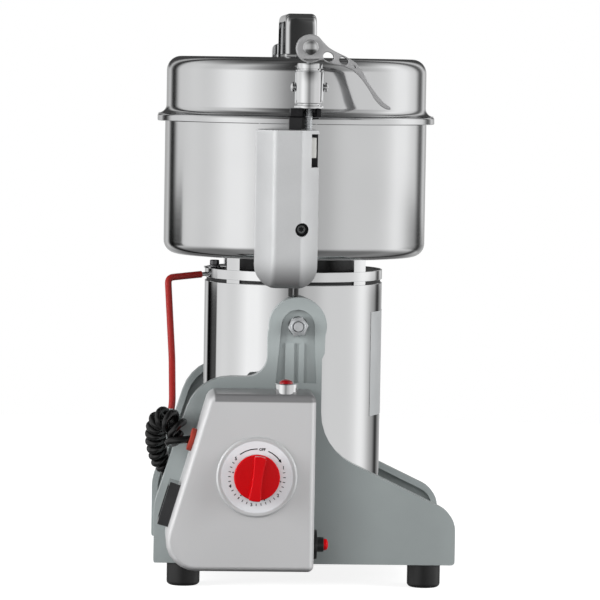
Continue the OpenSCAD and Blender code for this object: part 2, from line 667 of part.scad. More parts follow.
// Two crossed bars, the spacer between them and the domed nut on top
module cutters() color(steel) {
    cutter_bar(cutter_r, cutter_w[0], cutter_z[0], cutter_turn[0]);
    cutter_bar(cutter_r - cutter_less, cutter_w[1], cutter_z[1], cutter_turn[1]);
    ring(spacer_r, cutter_bore, cutter_z[0] + cutter_t + weld_gap, cutter_z[1] - cutter_z[0] - cutter_t - 2 * weld_gap);
    translate([0, 0, cutter_z[1] + cutter_t + weld_gap]) difference() {
        union() {
            cylinder(r = dome_nut_r[0], h = 8, $fn = 6);
            translate([0, 0, 8 - eps]) cylinder(r = dome_nut_r[1], h = 8);
        }
        translate([0, 0, -past]) cylinder(r = cutter_bore, h = spindle_top - cutter_z[1] - cutter_t + past + 0.2);
    }
}

// ---- Bowl ----
module pan_profile(r, h, corner) {
    square([r - corner, h]);
    translate([0, corner]) square([r, h - corner]);
    translate([r - corner, corner]) intersection() {
        circle(corner);
        translate([0, -corner]) square(corner + eps);
    }
}
rim_out = 3.2;
module bowl() color(steel) difference() {
    rotate_extrude() translate([0, bowl_z]) difference() {
        union() {
            pan_profile(bowl_r, bowl_h, bowl_corner);
            translate([bowl_r - bowl_wall, bowl_h - 2]) square([bowl_wall + rim_out, 2]);
        }
        translate([0, bowl_wall]) pan_profile(bowl_r - bowl_wall, bowl_h, bowl_corner - bowl_wall);
    }
    translate([0, 0, bowl_z - past]) cylinder(r = spindle_d / 2 + 1.5, h = bowl_wall + 2 * past);
}

// ---- Cast handle ----
grip_top = rim_z - 8;
grip_low = grip_top - grip_h;
grip_right = 12.6;
grip_left = grip_right - grip_w;
grip_side = grip_front - 26;   // where the slanted facets start
face_left = grip_left + 13;
face_right = grip_right - 14.6;
window_low = grip_top - 30;
window_h = 27;
window_front = grip_side + 12;  // the window cuts into the slanted facet as far as this
slide_w = 12;
slide_d = 14;
slide_h = 16.5;
slide_low = window_low + 7.4;
slide_rod_r = 2.2;
socket_r = rod_d / 2 + 1.4;
socket_deep = 4;
plunger = [10, 13];
plunger_x = catch_x - 16.5;
plunger_deep = 14;  // depth of the plunger's hole
plunger_in = 10.6;  // and how much of the plunger is in it
plunger_up = 10.7;
handle_screw_at = [-1.5, 299.8];
handle_screw_r = 5.2;
boss_back = bowl_r - 8;

module grip_section(wall = 0) polygon([
    [grip_left + wall, -boss_back], [grip_left + wall, -grip_side], [face_left + wall, -grip_front + wall],
    [face_right - wall, -grip_front + wall], [grip_right - wall, -grip_side], [grip_right - wall, -boss_back]]);
module grip_outline() polygon(rounded(
    [[grip_left, grip_low], [grip_right, grip_low], [grip_right, grip_top], [grip_left, grip_top]], [16, 16, 2, 2]));
bumper_r = 4.3;
bumper_x = -4.1;
bumper_y = (near_in + near_out) / 2;
bumper_low = pivot_h + head_r + slide_gap;   // it rests above the upright's head
bumper_seat = 5;
grip_foot_h = 9;   // a foot runs back under the bowl and carries the bumper
grip_foot_w = 22;
grip_foot_z = bowl_z - weld_gap - grip_foot_h;
grip_wall = 4;
hollow_low = grip_foot_z + grip_foot_h + grip_wall;
hollow_top = window_low - 12;
module cast_handle() color(silver) difference() {
    union() {
        intersection() {
            translate([0, 0, grip_low]) linear_extrude(grip_h) grip_section();
            along_y(-grip_front, grip_front) grip_outline();
        }
        translate([bumper_x - grip_foot_w / 2, -grip_side, grip_foot_z])
            cube([grip_foot_w, grip_side + bumper_y + bumper_r + 3, grip_foot_h]);
    }
    // the back fits the bowl, and below the bowl it stays clear of the collar
    translate([0, 0, bowl_z]) cylinder(r = bowl_r + weld_gap, h = bowl_h + past);
    rotate_extrude() translate([0, bowl_z - weld_gap]) pan_profile(bowl_r + weld_gap, bowl_h, bowl_corner);
    translate([grip_left - past, -boss_back - 5, grip_low - past]) cube([grip_w + 2 * past, 6 + past, grip_foot_z - grip_low + past]);
    // hollow behind the front wall
    translate([grip_left + grip_wall, -grip_side + 2, hollow_low]) cube([grip_w - 2 * grip_wall, grip_side - 2 - boss_back, hollow_top - hollow_low]);
    // window for the release slide, and its run
    translate([catch_x - slide_w / 2 - slide_gap, -window_front, window_low])
        cube([grip_w, window_front - catch_y + slide_d / 2 + slide_gap, window_h]);
    translate([catch_x, -catch_y, window_low - 6]) cylinder(r = slide_rod_r + weld_gap, h = 7, $fn = fine);
    translate([catch_x, -catch_y, window_low + window_h - past]) cylinder(r = socket_r, h = 10);
    translate([plunger_x - slide_gap, -catch_y - plunger[1] / 2 - slide_gap, grip_top - plunger_deep]) cube([plunger[0] + 2 * slide_gap, plunger[1] + 2 * slide_gap, 40]);
    bar_y(handle_screw_at[0], handle_screw_at[1], -grip_front - past, handle_screw_r + 0.4, grip_front - grip_side + 2);
    translate([bumper_x, bumper_y, grip_foot_z - past]) cylinder(r = bumper_r + weld_gap, h = bumper_seat + past, $fn = fine);
}
module handle_screw() color(black) difference() {
    bar_y(handle_screw_at[0], handle_screw_at[1], -grip_side + 1 - 12, handle_screw_r, 12);
    translate([handle_screw_at[0], -grip_side - 11 + 2 - eps, handle_screw_at[1]]) rotate([90, 0, 0]) cylinder(r = 2.5, h = 6, $fn = 6);
}
module slide_rod() color(steel) translate([catch_x, -catch_y, window_low - 6])
    cylinder(r = slide_rod_r, h = grip_top - socket_deep - 1.8 - window_low + 6, $fn = fine);
module release_slide() color(white) difference() {
    translate([catch_x - slide_w / 2, -catch_y - slide_d / 2, slide_low]) cube([slide_w, slide_d, slide_h]);
    translate([catch_x, -catch_y, slide_low - past]) cylinder(r = slide_rod_r + shaft_gap, h = slide_h + 2 * past, $fn = fine);
}
module interlock_plunger() color(black)
    translate([plunger_x, -catch_y - plunger[1] / 2, grip_top - plunger_in]) cube([plunger[0], plunger[1], plunger_in + plunger_up - slide_gap]);

bumper_slit = 1.6;
module stop_bumper() color(black) difference() {
    translate([bumper_x, bumper_y, bumper_low]) cylinder(r = bumper_r, h = grip_foot_z + bumper_seat - bumper_low, $fn = fine);
    translate([bumper_x - bumper_slit / 2, bumper_y - bumper_r - past, bumper_low - past]) cube([bumper_slit, 2 * (bumper_r + past), 14]);
}

// ---- Lid ----
module lid_outer() {
    translate([0, flange_z]) square([flange_r, bowl_wall]);
    translate([0, flange_z]) square([lid_r, bowl_wall + lid_h - lid_corner]);
    translate([0, flange_z]) square([lid_r - lid_corner, bowl_wall + lid_h]);
    translate([lid_r - lid_corner, lid_top - lid_corner]) intersection() {
        circle(lid_corner);
        square(lid_corner + eps);
    }
    difference() {
        translate([lid_r - eps, flange_z + bowl_wall - eps]) square(lid_fillet - fillet_end);
        translate([lid_r + lid_fillet, flange_z + bowl_wall + lid_fillet]) circle(lid_fillet);
    }
}
module lid_shell() color(steel) rotate_extrude() difference() {
    union() {
        lid_outer();
        translate([flange_r - bowl_wall, flange_z - lip_h]) square([bowl_wall, lip_h + bowl_wall]);
    }
    square([lid_r - bowl_wall, lid_top - lid_corner]);
    square([lid_r - lid_corner, lid_top - bowl_wall]);
    translate([lid_r - lid_corner, lid_top - lid_corner]) circle(lid_corner - bowl_wall);
}
module lid_gasket() color(white) ring(bowl_r + rim_out, bowl_r - 3, flange_z - gasket_t, gasket_t);

strap_foot = 14;
strap_lean = 6; // how far each leg leans in
function strap_corners(below) = let (half = strap_len / 2, out = strap_lean * below / strap_h)
    [[-half - out, -below], [half + out, -below], [half - strap_lean, strap_h], [-half + strap_lean, strap_h]];
module strap_handle() color(steel) {
    across_x(strap_w) translate([0, lid_top]) difference() {
        polygon(rounded(strap_corners(0), [0.5, 0.5, 14, 14]));
        polygon(rounded(strap_corners(2 * strap_t), [0.5, 0.5, 14, 14], strap_t));
    }
    mirrored_y() translate([-strap_w / 2 - 1, strap_len / 2 - strap_t + 1, lid_top]) cube([strap_w + 2, strap_foot, 3]);
}

hinge_y = flange_r + 10.4;
hinge_z = rim_z - 2;
knuckle_r = 6;
hinge_pin_r = 3;
arm_w = 15.4;
arm_t = 4;
arm_rise = [16, 20, 42]; // heights of the arm's bends above the hinge
ear_t = 6;
module hinge_bracket() color(steel) difference() {
    for (s = [-1, 1]) translate([s * (arm_w / 2 + slide_gap + ear_t / 2), 0, 0]) across_x(ear_t) {
        translate([hinge_y, hinge_z]) circle(knuckle_r);
        polygon([[bowl_r - 6, hinge_z - 26], [bowl_r + 3, hinge_z - 26], [hinge_y + knuckle_r, hinge_z], [hinge_y, hinge_z + knuckle_r - 1.5], [bowl_r - 6, hinge_z - 5]]);
    }
    translate([-30, hinge_y, hinge_z]) rotate([0, 90, 0]) cylinder(r = hinge_pin_r + weld_gap, h = 60);
    cylinder(r = bowl_r + weld_gap, h = rim_z);
    translate([0, 0, flange_z - lip_h - 2]) cylinder(r = flange_r + 1.4, h = 40);
}
module hinge_pin() color(steel) translate([-arm_w / 2 - ear_t - 3, hinge_y, hinge_z]) rotate([0, 90, 0])
    cylinder(r = hinge_pin_r, h = arm_w + 2 * ear_t + 6);
module lid_hinge_arm() color(steel) difference() {
    across_x(arm_w) {
        translate([hinge_y, hinge_z]) circle(knuckle_r);
        polygon([[lid_r - 1, hinge_z + arm_rise[0]], [hinge_y - knuckle_r + 0.5, hinge_z + 2], [hinge_y + knuckle_r - 0.5, hinge_z + 2.4],
            [hinge_y - knuckle_r - 1, hinge_z + arm_rise[1]], [lid_r + arm_t, hinge_z + arm_rise[1] + arm_t],
            [lid_r + arm_t, hinge_z + arm_rise[2]], [lid_r - 1, hinge_z + arm_rise[2]]]);
    }
    translate([-30, hinge_y, hinge_z]) rotate([0, 90, 0]) cylinder(r = hinge_pin_r + shaft_gap, h = 60);
    translate([0, 0, weld_gap]) rotate_extrude() lid_outer();
    translate([0, 0, flange_z]) cylinder(r = lid_r + weld_gap, h = lid_h);
}

lug_z = flange_z + bowl_wall + 0.3;
lug_h = 6.5;
lug_w = 24.6;
lug_left = 15.5;
lug_front = 12;
washer_z = lug_z + lug_h;
washer_h = 2.4;
barrel_z = washer_z + washer_h;
neck_h = 0.9;
cap_rise = 4.5;
barrel_ring_h = 2.5;
barrel_top = barrel_z + neck_h + barrel_h + barrel_ring_h + cap_rise;
pin_z = barrel_top + slide_gap + cam_r + 1;
rod_low = grip_top - socket_deep;
rod_hole = rod_d / 2 + 0.25;
module latch_lug() color(dark_steel) difference() {
    translate([catch_x - lug_left, -catch_y - lug_front, lug_z]) cube([lug_w, catch_y + lug_front - lid_r + 2, lug_h]);
    translate([catch_x, -catch_y, lug_z - past]) cylinder(r = rod_hole, h = lug_h + 2 * past);
    rotate_extrude() {
        translate([0, weld_gap]) lid_outer();
        square([lid_r + weld_gap, lid_top]);
    }
}
module latch_washer() color(steel) translate([catch_x, -catch_y, 0]) ring(barrel_d / 2 + 0.35, rod_hole, washer_z, washer_h);
module latch_barrel() color(steel) translate([catch_x, -catch_y, 0]) {
    ring(barrel_d / 2 - 1, rod_hole, barrel_z, neck_h + eps);
    ring(barrel_d / 2, rod_hole, barrel_z + neck_h, barrel_h);
    ring(barrel_d / 2 - 0.8, rod_hole, barrel_z + neck_h + barrel_h - eps, barrel_ring_h + 2 * eps);
    ring(barrel_d / 2 - 1.5, rod_hole, barrel_top - cap_rise, cap_rise);
}
cam_pin_r = 2.2;
cam_pin_head_r = 6.3;
module latch_rod() color(dark_steel) difference() {
    translate([catch_x, -catch_y, rod_low]) cylinder(r = rod_d / 2, h = pin_z + 4.5 - rod_low);
    bar_y(catch_x, pin_z, -catch_y - rod_d, cam_pin_r + weld_gap, 2 * rod_d);
}
module cam_pin() color(steel) {
    bar_y(catch_x, pin_z, -catch_y - lever_t / 2 - 0.4, cam_pin_r, lever_t + 0.8);
    for (s = [0, 1]) bar_y(catch_x, pin_z, -catch_y + (s == 0 ? -lever_t / 2 - 2 : lever_t / 2 + 0.1), cam_pin_head_r, 1.9);
}
// Outline of the lever's arm, from the catch's axis and the pin
lever_corners = [
    [4, -10.2], [25, -14.5], [37, -21], [45, -28.5], [53, -41], [64.5, -50.5],
    [68.5, -49.8], [57.5, -41], [51, -31], [42.5, -19], [31, -8.6], [19.6, -4.6], [10, 4.6], [2, 10.5]];
lever_radii = [3, 14, 14, 16, 22, 1, 1, 16, 26, 26, 10, 10, 12, 3];
lever_holes = [[15, -8, 4.1], [27.8, -10.6, 3.8], [38, -17.3, 2.1]];
rod_slot = rod_d + 2 * slide_gap;
module cam_lever() color(silver) translate([catch_x, 0, pin_z]) difference() {
    along_y(-catch_y - lever_t / 2, lever_t) {
        translate([0, -1]) circle(cam_r);
        polygon(rounded(lever_corners, lever_radii, 0, 4));
    }
    bar_y(0, 0, -catch_y - lever_t, cam_pin_r + shaft_gap, 2 * lever_t);
    for (h = lever_holes) bar_y(h[0], h[1], -catch_y - lever_t, h[2], 2 * lever_t);
    translate([-cam_r - past, -catch_y - rod_slot / 2, -cam_r - 2 - past]) cube([cam_r + past + 6, rod_slot, 2 * cam_r + 6]);
}

// ---- Curly cord and cord hook ----
// The cord's route: straight out of the grommet, a hanging curly stretch, and a tail to the motor
cord_r = 3.1;
coil_r = 10.4;
grommet_at = [slant_x(grommet_z), box_y, grommet_z];
lead_route = [for (step = [[-2.5, 0, 0.8], [-7.5, 0, 2.2], [-13.5, 1, -0.6], [-18.5, 6, -3.6],
    [-18.5, 13, -5.1], [-15.5, 17.5, -2.6], [-14.81, 18.58, 0.99]]) grommet_at + step];
coil_route = [for (step = [[-14.53, 19, 2.4], [-15.5, 19.5, 8.4], [-19.5, 23, 13.4], [-25.5, 31, 12.4],
    [-30.5, 40, 4.4], [-31.5, 49, -7.6], [-29.5, 57, -20.6], [-24.5, 64, -34.6]]) grommet_at + step];
gland_mouth = [gland_at[0], gland_at[1], cap_z - gland_h];
tail_steps = [[0.13, 0.19, -0.44], [-8, -1.3, -4.9], [-12, 0.3, -10.9], [-12, 4, -15.8],
    [-8, 7.7, -18.8], [0, 10.3, -20.7], [8, 11, -19.7], [12, 8.7, -15.6], [9, 4.3, -8.1], [0, 0, 0]];
tail_route = run_between(coil_route[len(coil_route) - 1], gland_mouth, tail_steps);
// A route from a to b that is off the straight line by one step at each point
function run_between(a, b, steps) = [for (i = [0:len(steps) - 1]) let (f = i / (len(steps) - 1)) (1 - f) * a + f * b + steps[i]];
function tangent(p, i) = unit(p[min(i + 1, len(p) - 1)] - p[max(i - 1, 0)]);
function sweep_ring(p, i, r, n) =
    let (t = tangent(p, i), u = unit(cross(t, [0, 1, 0.05])), v = cross(t, u))
    [for (k = [0:n - 1]) p[i] + r * (cos(360 * k / n) * u + sin(360 * k / n) * v)];
module swept_tube(p, r, n) {
    rings = len(p);
    polyhedron(
        [for (i = [0:rings - 1]) each sweep_ring(p, i, r, n)],
        concat(
            [[for (k = [0:n - 1]) k]],
            [for (i = [0:rings - 2], k = [0:n - 1])
                [i * n + k, (i + 1) * n + k, (i + 1) * n + (k + 1) % n, i * n + (k + 1) % n]],
            [[for (k = [n - 1:-1:0]) (rings - 1) * n + k]]));
}
module cord_lead() color(black) swept_tube(lead_route, cord_r, 8);
module cord_coil() color(black) swept_tube(coil_route, coil_r, 12);
module cord_tail() color(black) swept_tube(tail_route, cord_r, 8);
function softened(p, reach, steps) = concat([p[0]],
    [for (i = [1:len(p) - 2])
        let (a = p[i] + reach * unit(p[i - 1] - p[i]), c = p[i] + reach * unit(p[i + 1] - p[i]))
        for (k = [0:steps]) let (f = k / steps) (1 - f) * (1 - f) * a + 2 * f * (1 - f) * p[i] + f * f * c],
    [p[len(p) - 1]]);

// The hook that holds the cord, bent round its corners
wire_r = 1.75;
sleeve_r = 2.85;
hook_angle = 200.9;  // where the hook meets the collar's band
hook_at = [(shell_r + 0.4) * cos(hook_angle), (shell_r + 0.4) * sin(hook_angle), band_top - 4.5];
hook_steps = [[0, 0, 0], [-1.3, 12.1, 22.1], [-23.5, 12, 40.7], [-12.2, 7, 1.8], [-4.8, 1, -9.6],
    [1, 15, 7]];
hook_route = softened(run_between(hook_at, coil_route[2], hook_steps), 5, 4);
sleeve_from = 5;  // first and last ring of the wire that the sleeve covers
sleeve_to = 20;
module cord_hook() color(steel) swept_tube(hook_route, wire_r, 8);
module hook_sleeve() color(red) difference() {
    swept_tube([for (i = [sleeve_from:sleeve_to]) hook_route[i]], sleeve_r, 8);
    swept_tube([for (i = [sleeve_from - 1:sleeve_to + 1]) hook_route[i]], wire_r + weld_gap, 8);
}

near_upright();
far_upright();
base_tray();
rubber_feet();
base_screws();
pivot_bushes();
timer_box();
box_screws();
dial_plate();
timer_body();
lamp_bezel();
lamp_lens();
inlet_frame();
inlet_pins();
overload_breaker();
cord_grommet();
pivot_studs();
pivot_nuts();
motor_shell();
bottom_cap();
stator();
field_coils();
lower_end_frame();
upper_end_frame();
bearings();
brush_sets();
vent_collar();
collar_bolt();
bowl();
spindle_seal();
cast_handle();
handle_screw();
slide_rod();
stop_bumper();
cord_hook();
hook_sleeve();
hinge_bracket();
hinge_pin();
cord_lead();
cord_coil();
cord_tail();
lid_shell();
lid_gasket();
strap_handle();
lid_hinge_arm();
latch_lug();
latch_barrel();
latch_washer();
latch_rod();
cam_lever();
cam_pin();
release_slide();
interlock_plunger();
timer_knob();
timer_shaft();
reset_button();
spindle();
armature();
cooling_fan();
cutters();
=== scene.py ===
"""Electric grain mill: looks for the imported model, in metres, in the model's own frame.

+X is right, -Y is towards the timer, +Z is up. Every piece sits where its CAD node is.
"""
import json
import math

import bmesh
import bpy
from mathutils import Matrix, Vector
from mathutils.geometry import tessellate_polygon


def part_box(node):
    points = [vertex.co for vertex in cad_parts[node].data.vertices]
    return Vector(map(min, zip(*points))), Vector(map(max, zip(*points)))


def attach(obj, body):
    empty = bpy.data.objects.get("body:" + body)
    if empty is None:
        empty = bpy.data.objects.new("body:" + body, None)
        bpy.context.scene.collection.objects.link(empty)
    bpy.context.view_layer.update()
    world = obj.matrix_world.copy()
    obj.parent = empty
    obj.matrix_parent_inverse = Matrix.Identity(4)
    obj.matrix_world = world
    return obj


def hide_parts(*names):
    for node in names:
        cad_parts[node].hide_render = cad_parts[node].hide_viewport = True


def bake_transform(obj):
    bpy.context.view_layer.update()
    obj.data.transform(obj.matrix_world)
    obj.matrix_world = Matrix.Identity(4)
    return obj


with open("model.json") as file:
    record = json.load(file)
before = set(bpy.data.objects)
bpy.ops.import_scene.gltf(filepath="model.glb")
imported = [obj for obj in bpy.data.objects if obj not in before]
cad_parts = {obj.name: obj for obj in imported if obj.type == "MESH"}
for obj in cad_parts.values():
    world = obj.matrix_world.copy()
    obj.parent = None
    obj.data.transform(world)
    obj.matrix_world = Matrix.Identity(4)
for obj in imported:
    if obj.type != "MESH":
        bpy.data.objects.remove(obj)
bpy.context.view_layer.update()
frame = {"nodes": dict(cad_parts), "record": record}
record = frame["record"]
MM = 0.001
NODE_BODY = {n: b for b, members in record["behaviour"]["bodies"].items() for n in members}
NODE_SLOT = {s["node"]: s["material_slot"] for s in record["subparts"]}


def linked(name, data):
    """A new object in the scene."""
    item = bpy.data.objects.new(name, data)
    bpy.context.scene.collection.objects.link(item)
    return item


# ---------------------------------------------------------------- camera

VIEW_PX = 600                 # width and height of the view, in pixels
FOCAL_PX = 3700.0             # focal length in those pixels
SENSOR = 36.0                 # sensor width in millimetres
EYE_DISTANCE = 3.15           # from the mill's axis, along the floor
EYE_HEIGHT = 0.432
EYE_YAW = math.radians(2.8)   # the eye stands a little left of the mill's front
EYE_ROLL = math.radians(0.95)
AIM = Vector((0.006, 0.0, 0.2329))


def make_camera():
    """Stands the camera in front of the mill, a little to its left and slightly rolled."""
    data = bpy.data.cameras.new("camera")
    data.sensor_width = SENSOR
    data.lens = FOCAL_PX / VIEW_PX * SENSOR
    data.clip_start, data.clip_end = 0.1, 50
    camera = linked("camera", data)
    eye = Vector((-EYE_DISTANCE * math.sin(EYE_YAW), -EYE_DISTANCE * math.cos(EYE_YAW), EYE_HEIGHT))
    ahead = (AIM - eye).normalized()
    right = ahead.cross(Vector((0, 0, 1))).normalized()
    up = right.cross(ahead)
    c, s = math.cos(EYE_ROLL), math.sin(EYE_ROLL)
    right, up = right * c + up * s, up * c - right * s
    turn = Matrix((right, up, -ahead)).transposed()
    camera.matrix_world = Matrix.Translation(eye) @ turn.to_4x4()
    bpy.context.scene.camera = camera


# ---------------------------------------------------------------- shader maths


class Wire:
    """A value that varies over a surface or a pattern. Arithmetic on it adds Math nodes."""

    def __init__(self, net, socket):
        self.net, self.socket = net, socket

    def math(self, operation, *others, clamp=False):
        settings = {"operation": operation, "use_clamp": clamp}
        return self.net.add("ShaderNodeMath", settings, dict(enumerate((self,) + others)))

    def __add__(self, other):
        return self.math("ADD", other)

    __radd__ = __add__

    def __sub__(self, other):
        return self.math("SUBTRACT", other)

    def __rsub__(self, other):
        return self.net.add("ShaderNodeMath", {"operation": "SUBTRACT"}, {0: other, 1: self})

    def __mul__(self, other):
        return self.math("MULTIPLY", other)

    __rmul__ = __mul__

    def __truediv__(self, other):
        return self.math("DIVIDE", other)

    def clamped(self):
        return self.math("ADD", 0.0, clamp=True)

    def above(self, edge, width):
        """0 below the edge and 1 above it, with a soft step of that width."""
        settings = {"interpolation_type": "SMOOTHSTEP"}
        values = {"Value": self, "From Min": edge - width / 2, "From Max": edge + width / 2}
        return self.net.add("ShaderNodeMapRange", settings, values)

    def between(self, low, high):
        """Takes 0..1 to low..high."""
        return self.net.add("ShaderNodeMapRange", {}, {"Value": self, "To Min": low, "To Max": high})

    def bump_round(self, centre, width):
        """A round hill, 1 at the centre, that falls off over the width."""
        away = (self - centre) / width
        return (away * away * -1.0).math("EXPONENT")


class Net:
    """A node tree that is being made."""

    def __init__(self, tree):
        self.tree = tree
        self.tree.nodes.clear()

    def add(self, kind, settings, values, output=0):
        """Adds a node. Settings come first; values are numbers, colours or wires for its inputs."""
        node = self.tree.nodes.new(kind)
        for name, value in settings.items():
            setattr(node, name, value)
        for key, value in values.items():
            socket = node.inputs[key]
            if isinstance(value, Wire):
                self.tree.links.new(value.socket, socket)
            else:
                socket.default_value = value
        return Wire(self, node.outputs[output]) if node.outputs else None

    def axes(self, where):
        """The X, Y and Z of a vector."""
        return [self.add("ShaderNodeSeparateXYZ", {}, {"Vector": where}, k) for k in range(3)]


class Finish(Net):
    """A material or world that is being made."""

    def __init__(self, block):
        block.use_nodes = True
        self.block = block
        super().__init__(block.node_tree)

    def place(self, stretch=(1, 1, 1)):
        """Object coordinates in metres, stretched."""
        where = self.add("ShaderNodeTexCoord", {}, {}, "Object")
        if stretch == (1, 1, 1):
            return where
        return self.add("ShaderNodeMapping", {}, {"Vector": where, "Scale": stretch})

    def noise(self, scale, detail=3.0, stretch=(1, 1, 1)):
        """Noise from 0 to 1, with this many spots to the metre."""
        values = {"Vector": self.place(stretch), "Scale": scale, "Detail": detail}
        return self.add("ShaderNodeTexNoise", {}, values, "Fac")

    def ray(self, kind):
        """1 for rays of the kind, such as Camera or Glossy, and 0 for others."""
        return self.add("ShaderNodeLightPath", {}, {}, f"Is {kind} Ray")

    def tint(self, fac, dark, light):
        """From the dark colour at 0 to the light one at 1. Sockets 6 and 7 are the Mix node's colours."""
        values = {"Factor": fac, 6: dark, 7: light}
        return self.add("ShaderNodeMix", {"data_type": "RGBA"}, values, 2)

    def relief(self, height, distance, strength=1.0):
        """Bumps of this height in metres."""
        values = {"Height": height, "Distance": distance, "Strength": strength}
        return self.add("ShaderNodeBump", {}, values)

    def surface(self, **values):
        """Ends the material with one Principled shader, and returns it."""
        names = {k.replace("_", " "): v for k, v in values.items()}
        shader = self.add("ShaderNodeBsdfPrincipled", {}, names)
        self.close(shader)
        return self.block

    def close(self, shader):
        kind = "World" if isinstance(self.block, bpy.types.World) else "Material"
        self.add(f"ShaderNodeOutput{kind}", {}, {"Surface": shader})


def rgb(r, g, b):
    """A colour given as 0..255 screen values, as the linear colour that Blender takes."""
    def linear(v):
        v /= 255
        return v / 12.92 if v <= 0.04045 else ((v + 0.055) / 1.055) ** 2.4
    return (linear(r), linear(g), linear(b), 1.0)


def new_finish(name):
    """A material to be filled."""
    return Finish(bpy.data.materials.new(name))


# ---------------------------------------------------------------- materials


def painted_box_shade(f):
    """1 on the enamel close round the timer box, where painted shade darkens it, and 0 away from it."""
    low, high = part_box("timer_box")
    x, _, z = f.axes(f.place())
    near = (1 - z.above(high.z + 20 * MM, 40 * MM)) * (1 - x.above(high.x + 32 * MM, 60 * MM))
    return near * x.above(low.x + 18 * MM, 20 * MM)


def cast_enamel():
    """Greenish grey enamel on cast aluminium: fine orange peel, slight cloudiness, and painted shade close
    round the timer box.
    """
    f = new_finish("cast_enamel")
    cloud = f.noise(22, 4)
    grain = f.noise(1500, 2)
    enamel = f.tint(cloud, rgb(146, 153, 153), rgb(160, 167, 167))
    return f.surface(
        # painted shade: close round the timer box the enamel is darkened towards rgb(112, 118, 118)
        Base_Color=f.tint(painted_box_shade(f) * 0.8, enamel, rgb(112, 118, 118)),
        Metallic=0.1,
        Roughness=cloud.between(0.34, 0.46),
        Coat_Weight=0.25,
        Coat_Roughness=0.2,
        Normal=f.relief(grain, 0.00012, 0.5),
    )


def painted_deck_shade(f):
    """1 on the timer box's top and the bevel in front of it, where painted shade darkens the paint, and 0
    elsewhere.
    """
    x, _, z = f.axes(f.place())
    top, slant_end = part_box("timer_box")[1].z, -69.5 * MM
    deck = z.above(top - 6 * MM, 1.4 * MM) * (1 - z.above(top + MM, 0.5 * MM))
    return deck * x.above(slant_end, 1.5 * MM)


def box_silver():
    """Satin silver paint with a very fine flake, with painted shade on the box's top and the bevel in front
    of it.
    """
    f = new_finish("box_silver")
    flake = f.noise(4200, 1)
    cloud = f.noise(12, 3)
    paint = f.tint(flake * 0.6 + cloud * 0.4, rgb(190, 190, 191), rgb(204, 204, 205))
    return f.surface(
        # painted shade: the box's top and front bevel are darkened towards rgb(126, 126, 127)
        Base_Color=f.tint(painted_deck_shade(f), paint, rgb(126, 126, 127)),
        Metallic=0.35,
        Roughness=cloud.between(0.34, 0.42),
        Coat_Weight=0.2,
        Coat_Roughness=0.18,
        Normal=f.relief(flake, 0.00003, 0.3),
    )


def cast_silver(name, dark, light, metallic=0.4, painted_shade=None):
    """Fine-textured silver powder coat on a casting. An optional mask paints shade on it: where the mask is
    1, the coat is darkened to near black.
    """
    f = new_finish(name)
    grain = f.noise(2300, 3)
    cloud = f.noise(30, 3)
    colour = f.tint(grain * 0.5 + cloud * 0.5, dark, light)
    if painted_shade:
        # painted shade: where the mask is 1 the coat is darkened towards rgb(38, 38, 40)
        colour = f.tint(painted_shade(f), colour, rgb(38, 38, 40))
    return f.surface(
        Base_Color=colour,
        Metallic=metallic,
        Roughness=grain.between(0.34, 0.46),
        Normal=f.relief(grain, 0.0001, 0.5),
    )


def painted_handle_shade(f):
    """Where painted shade darkens the coat: 1 on the walls inside the handle's window, up to 0.62 on its low
    end, and 0 elsewhere.
    """
    low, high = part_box("release_slide")
    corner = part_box("cast_handle")[0]
    x, y, z = f.axes(f.place())
    sill, window_h = low.z - 7.6 * MM, 27.4 * MM
    # painted shade on the walls inside the window
    inside = z.above(sill, 0.1 * MM) * (1 - z.above(sill + window_h, 0.1 * MM))
    inside = inside * x.above(low.x - 0.6 * MM, 0.1 * MM) * (1 - y.above(high.y + 0.8 * MM, 0.1 * MM))
    facet_slope = 1.78        # how fast the facet that the window is in falls back to the right
    depth = y - corner.y - (x + 2 * MM) * facet_slope
    # painted shade on the low end, which curves back under the bowl and faces down
    grip = (1 - z.above(corner.z + 13 * MM, 24 * MM)) * 0.62
    return (inside * depth.above(1.2 * MM, 0.6 * MM)).math("MAXIMUM", grip)


def polished_steel():
    """Mirror-polished stainless steel with faint handling haze."""
    f = new_finish("polished_steel")
    haze = f.noise(26, 4, (1, 1, 0.35))
    return f.surface(
        Base_Color=f.tint(haze, (0.82, 0.825, 0.83, 1), (0.88, 0.885, 0.89, 1)),
        Metallic=1.0,
        Roughness=haze.between(0.025, 0.07),
    )


def brushed_steel():
    """Softly polished stainless steel with faint spun lines round the axis."""
    f = new_finish("brushed_steel")
    lines = f.noise(1.0, 4, (6, 6, 1700))
    haze = f.noise(18, 4)
    return f.surface(
        Base_Color=f.tint(haze, (0.74, 0.745, 0.75, 1), (0.82, 0.825, 0.83, 1)),
        Metallic=1.0,
        Roughness=(lines * 0.5 + haze * 0.5).between(0.08, 0.17),
        Normal=f.relief(lines, 0.00001, 0.35),
    )


def dark_steel():
    """Zinc-plated steel, brighter where it is handled."""
    f = new_finish("dark_steel")
    wear = f.noise(160, 4)
    return f.surface(
        Base_Color=f.tint(wear, rgb(96, 96, 98), rgb(148, 148, 150)),
        Metallic=0.95,
        Roughness=wear.between(0.2, 0.34),
    )


def bright_zinc():
    """Bright zinc on threads and nuts."""
    f = new_finish("bright_zinc")
    wear = f.noise(300, 3)
    return f.surface(
        Base_Color=f.tint(wear, rgb(186, 188, 190), rgb(224, 226, 228)),
        Metallic=0.65,
        Roughness=wear.between(0.14, 0.26),
    )


def blackened_steel():
    """Glossy blackened steel."""
    f = new_finish("blackened_steel")
    wear = f.noise(220, 3)
    return f.surface(
        Base_Color=f.tint(wear, rgb(26, 26, 27), rgb(52, 52, 54)),
        Metallic=0.7,
        Roughness=wear.between(0.16, 0.3),
    )


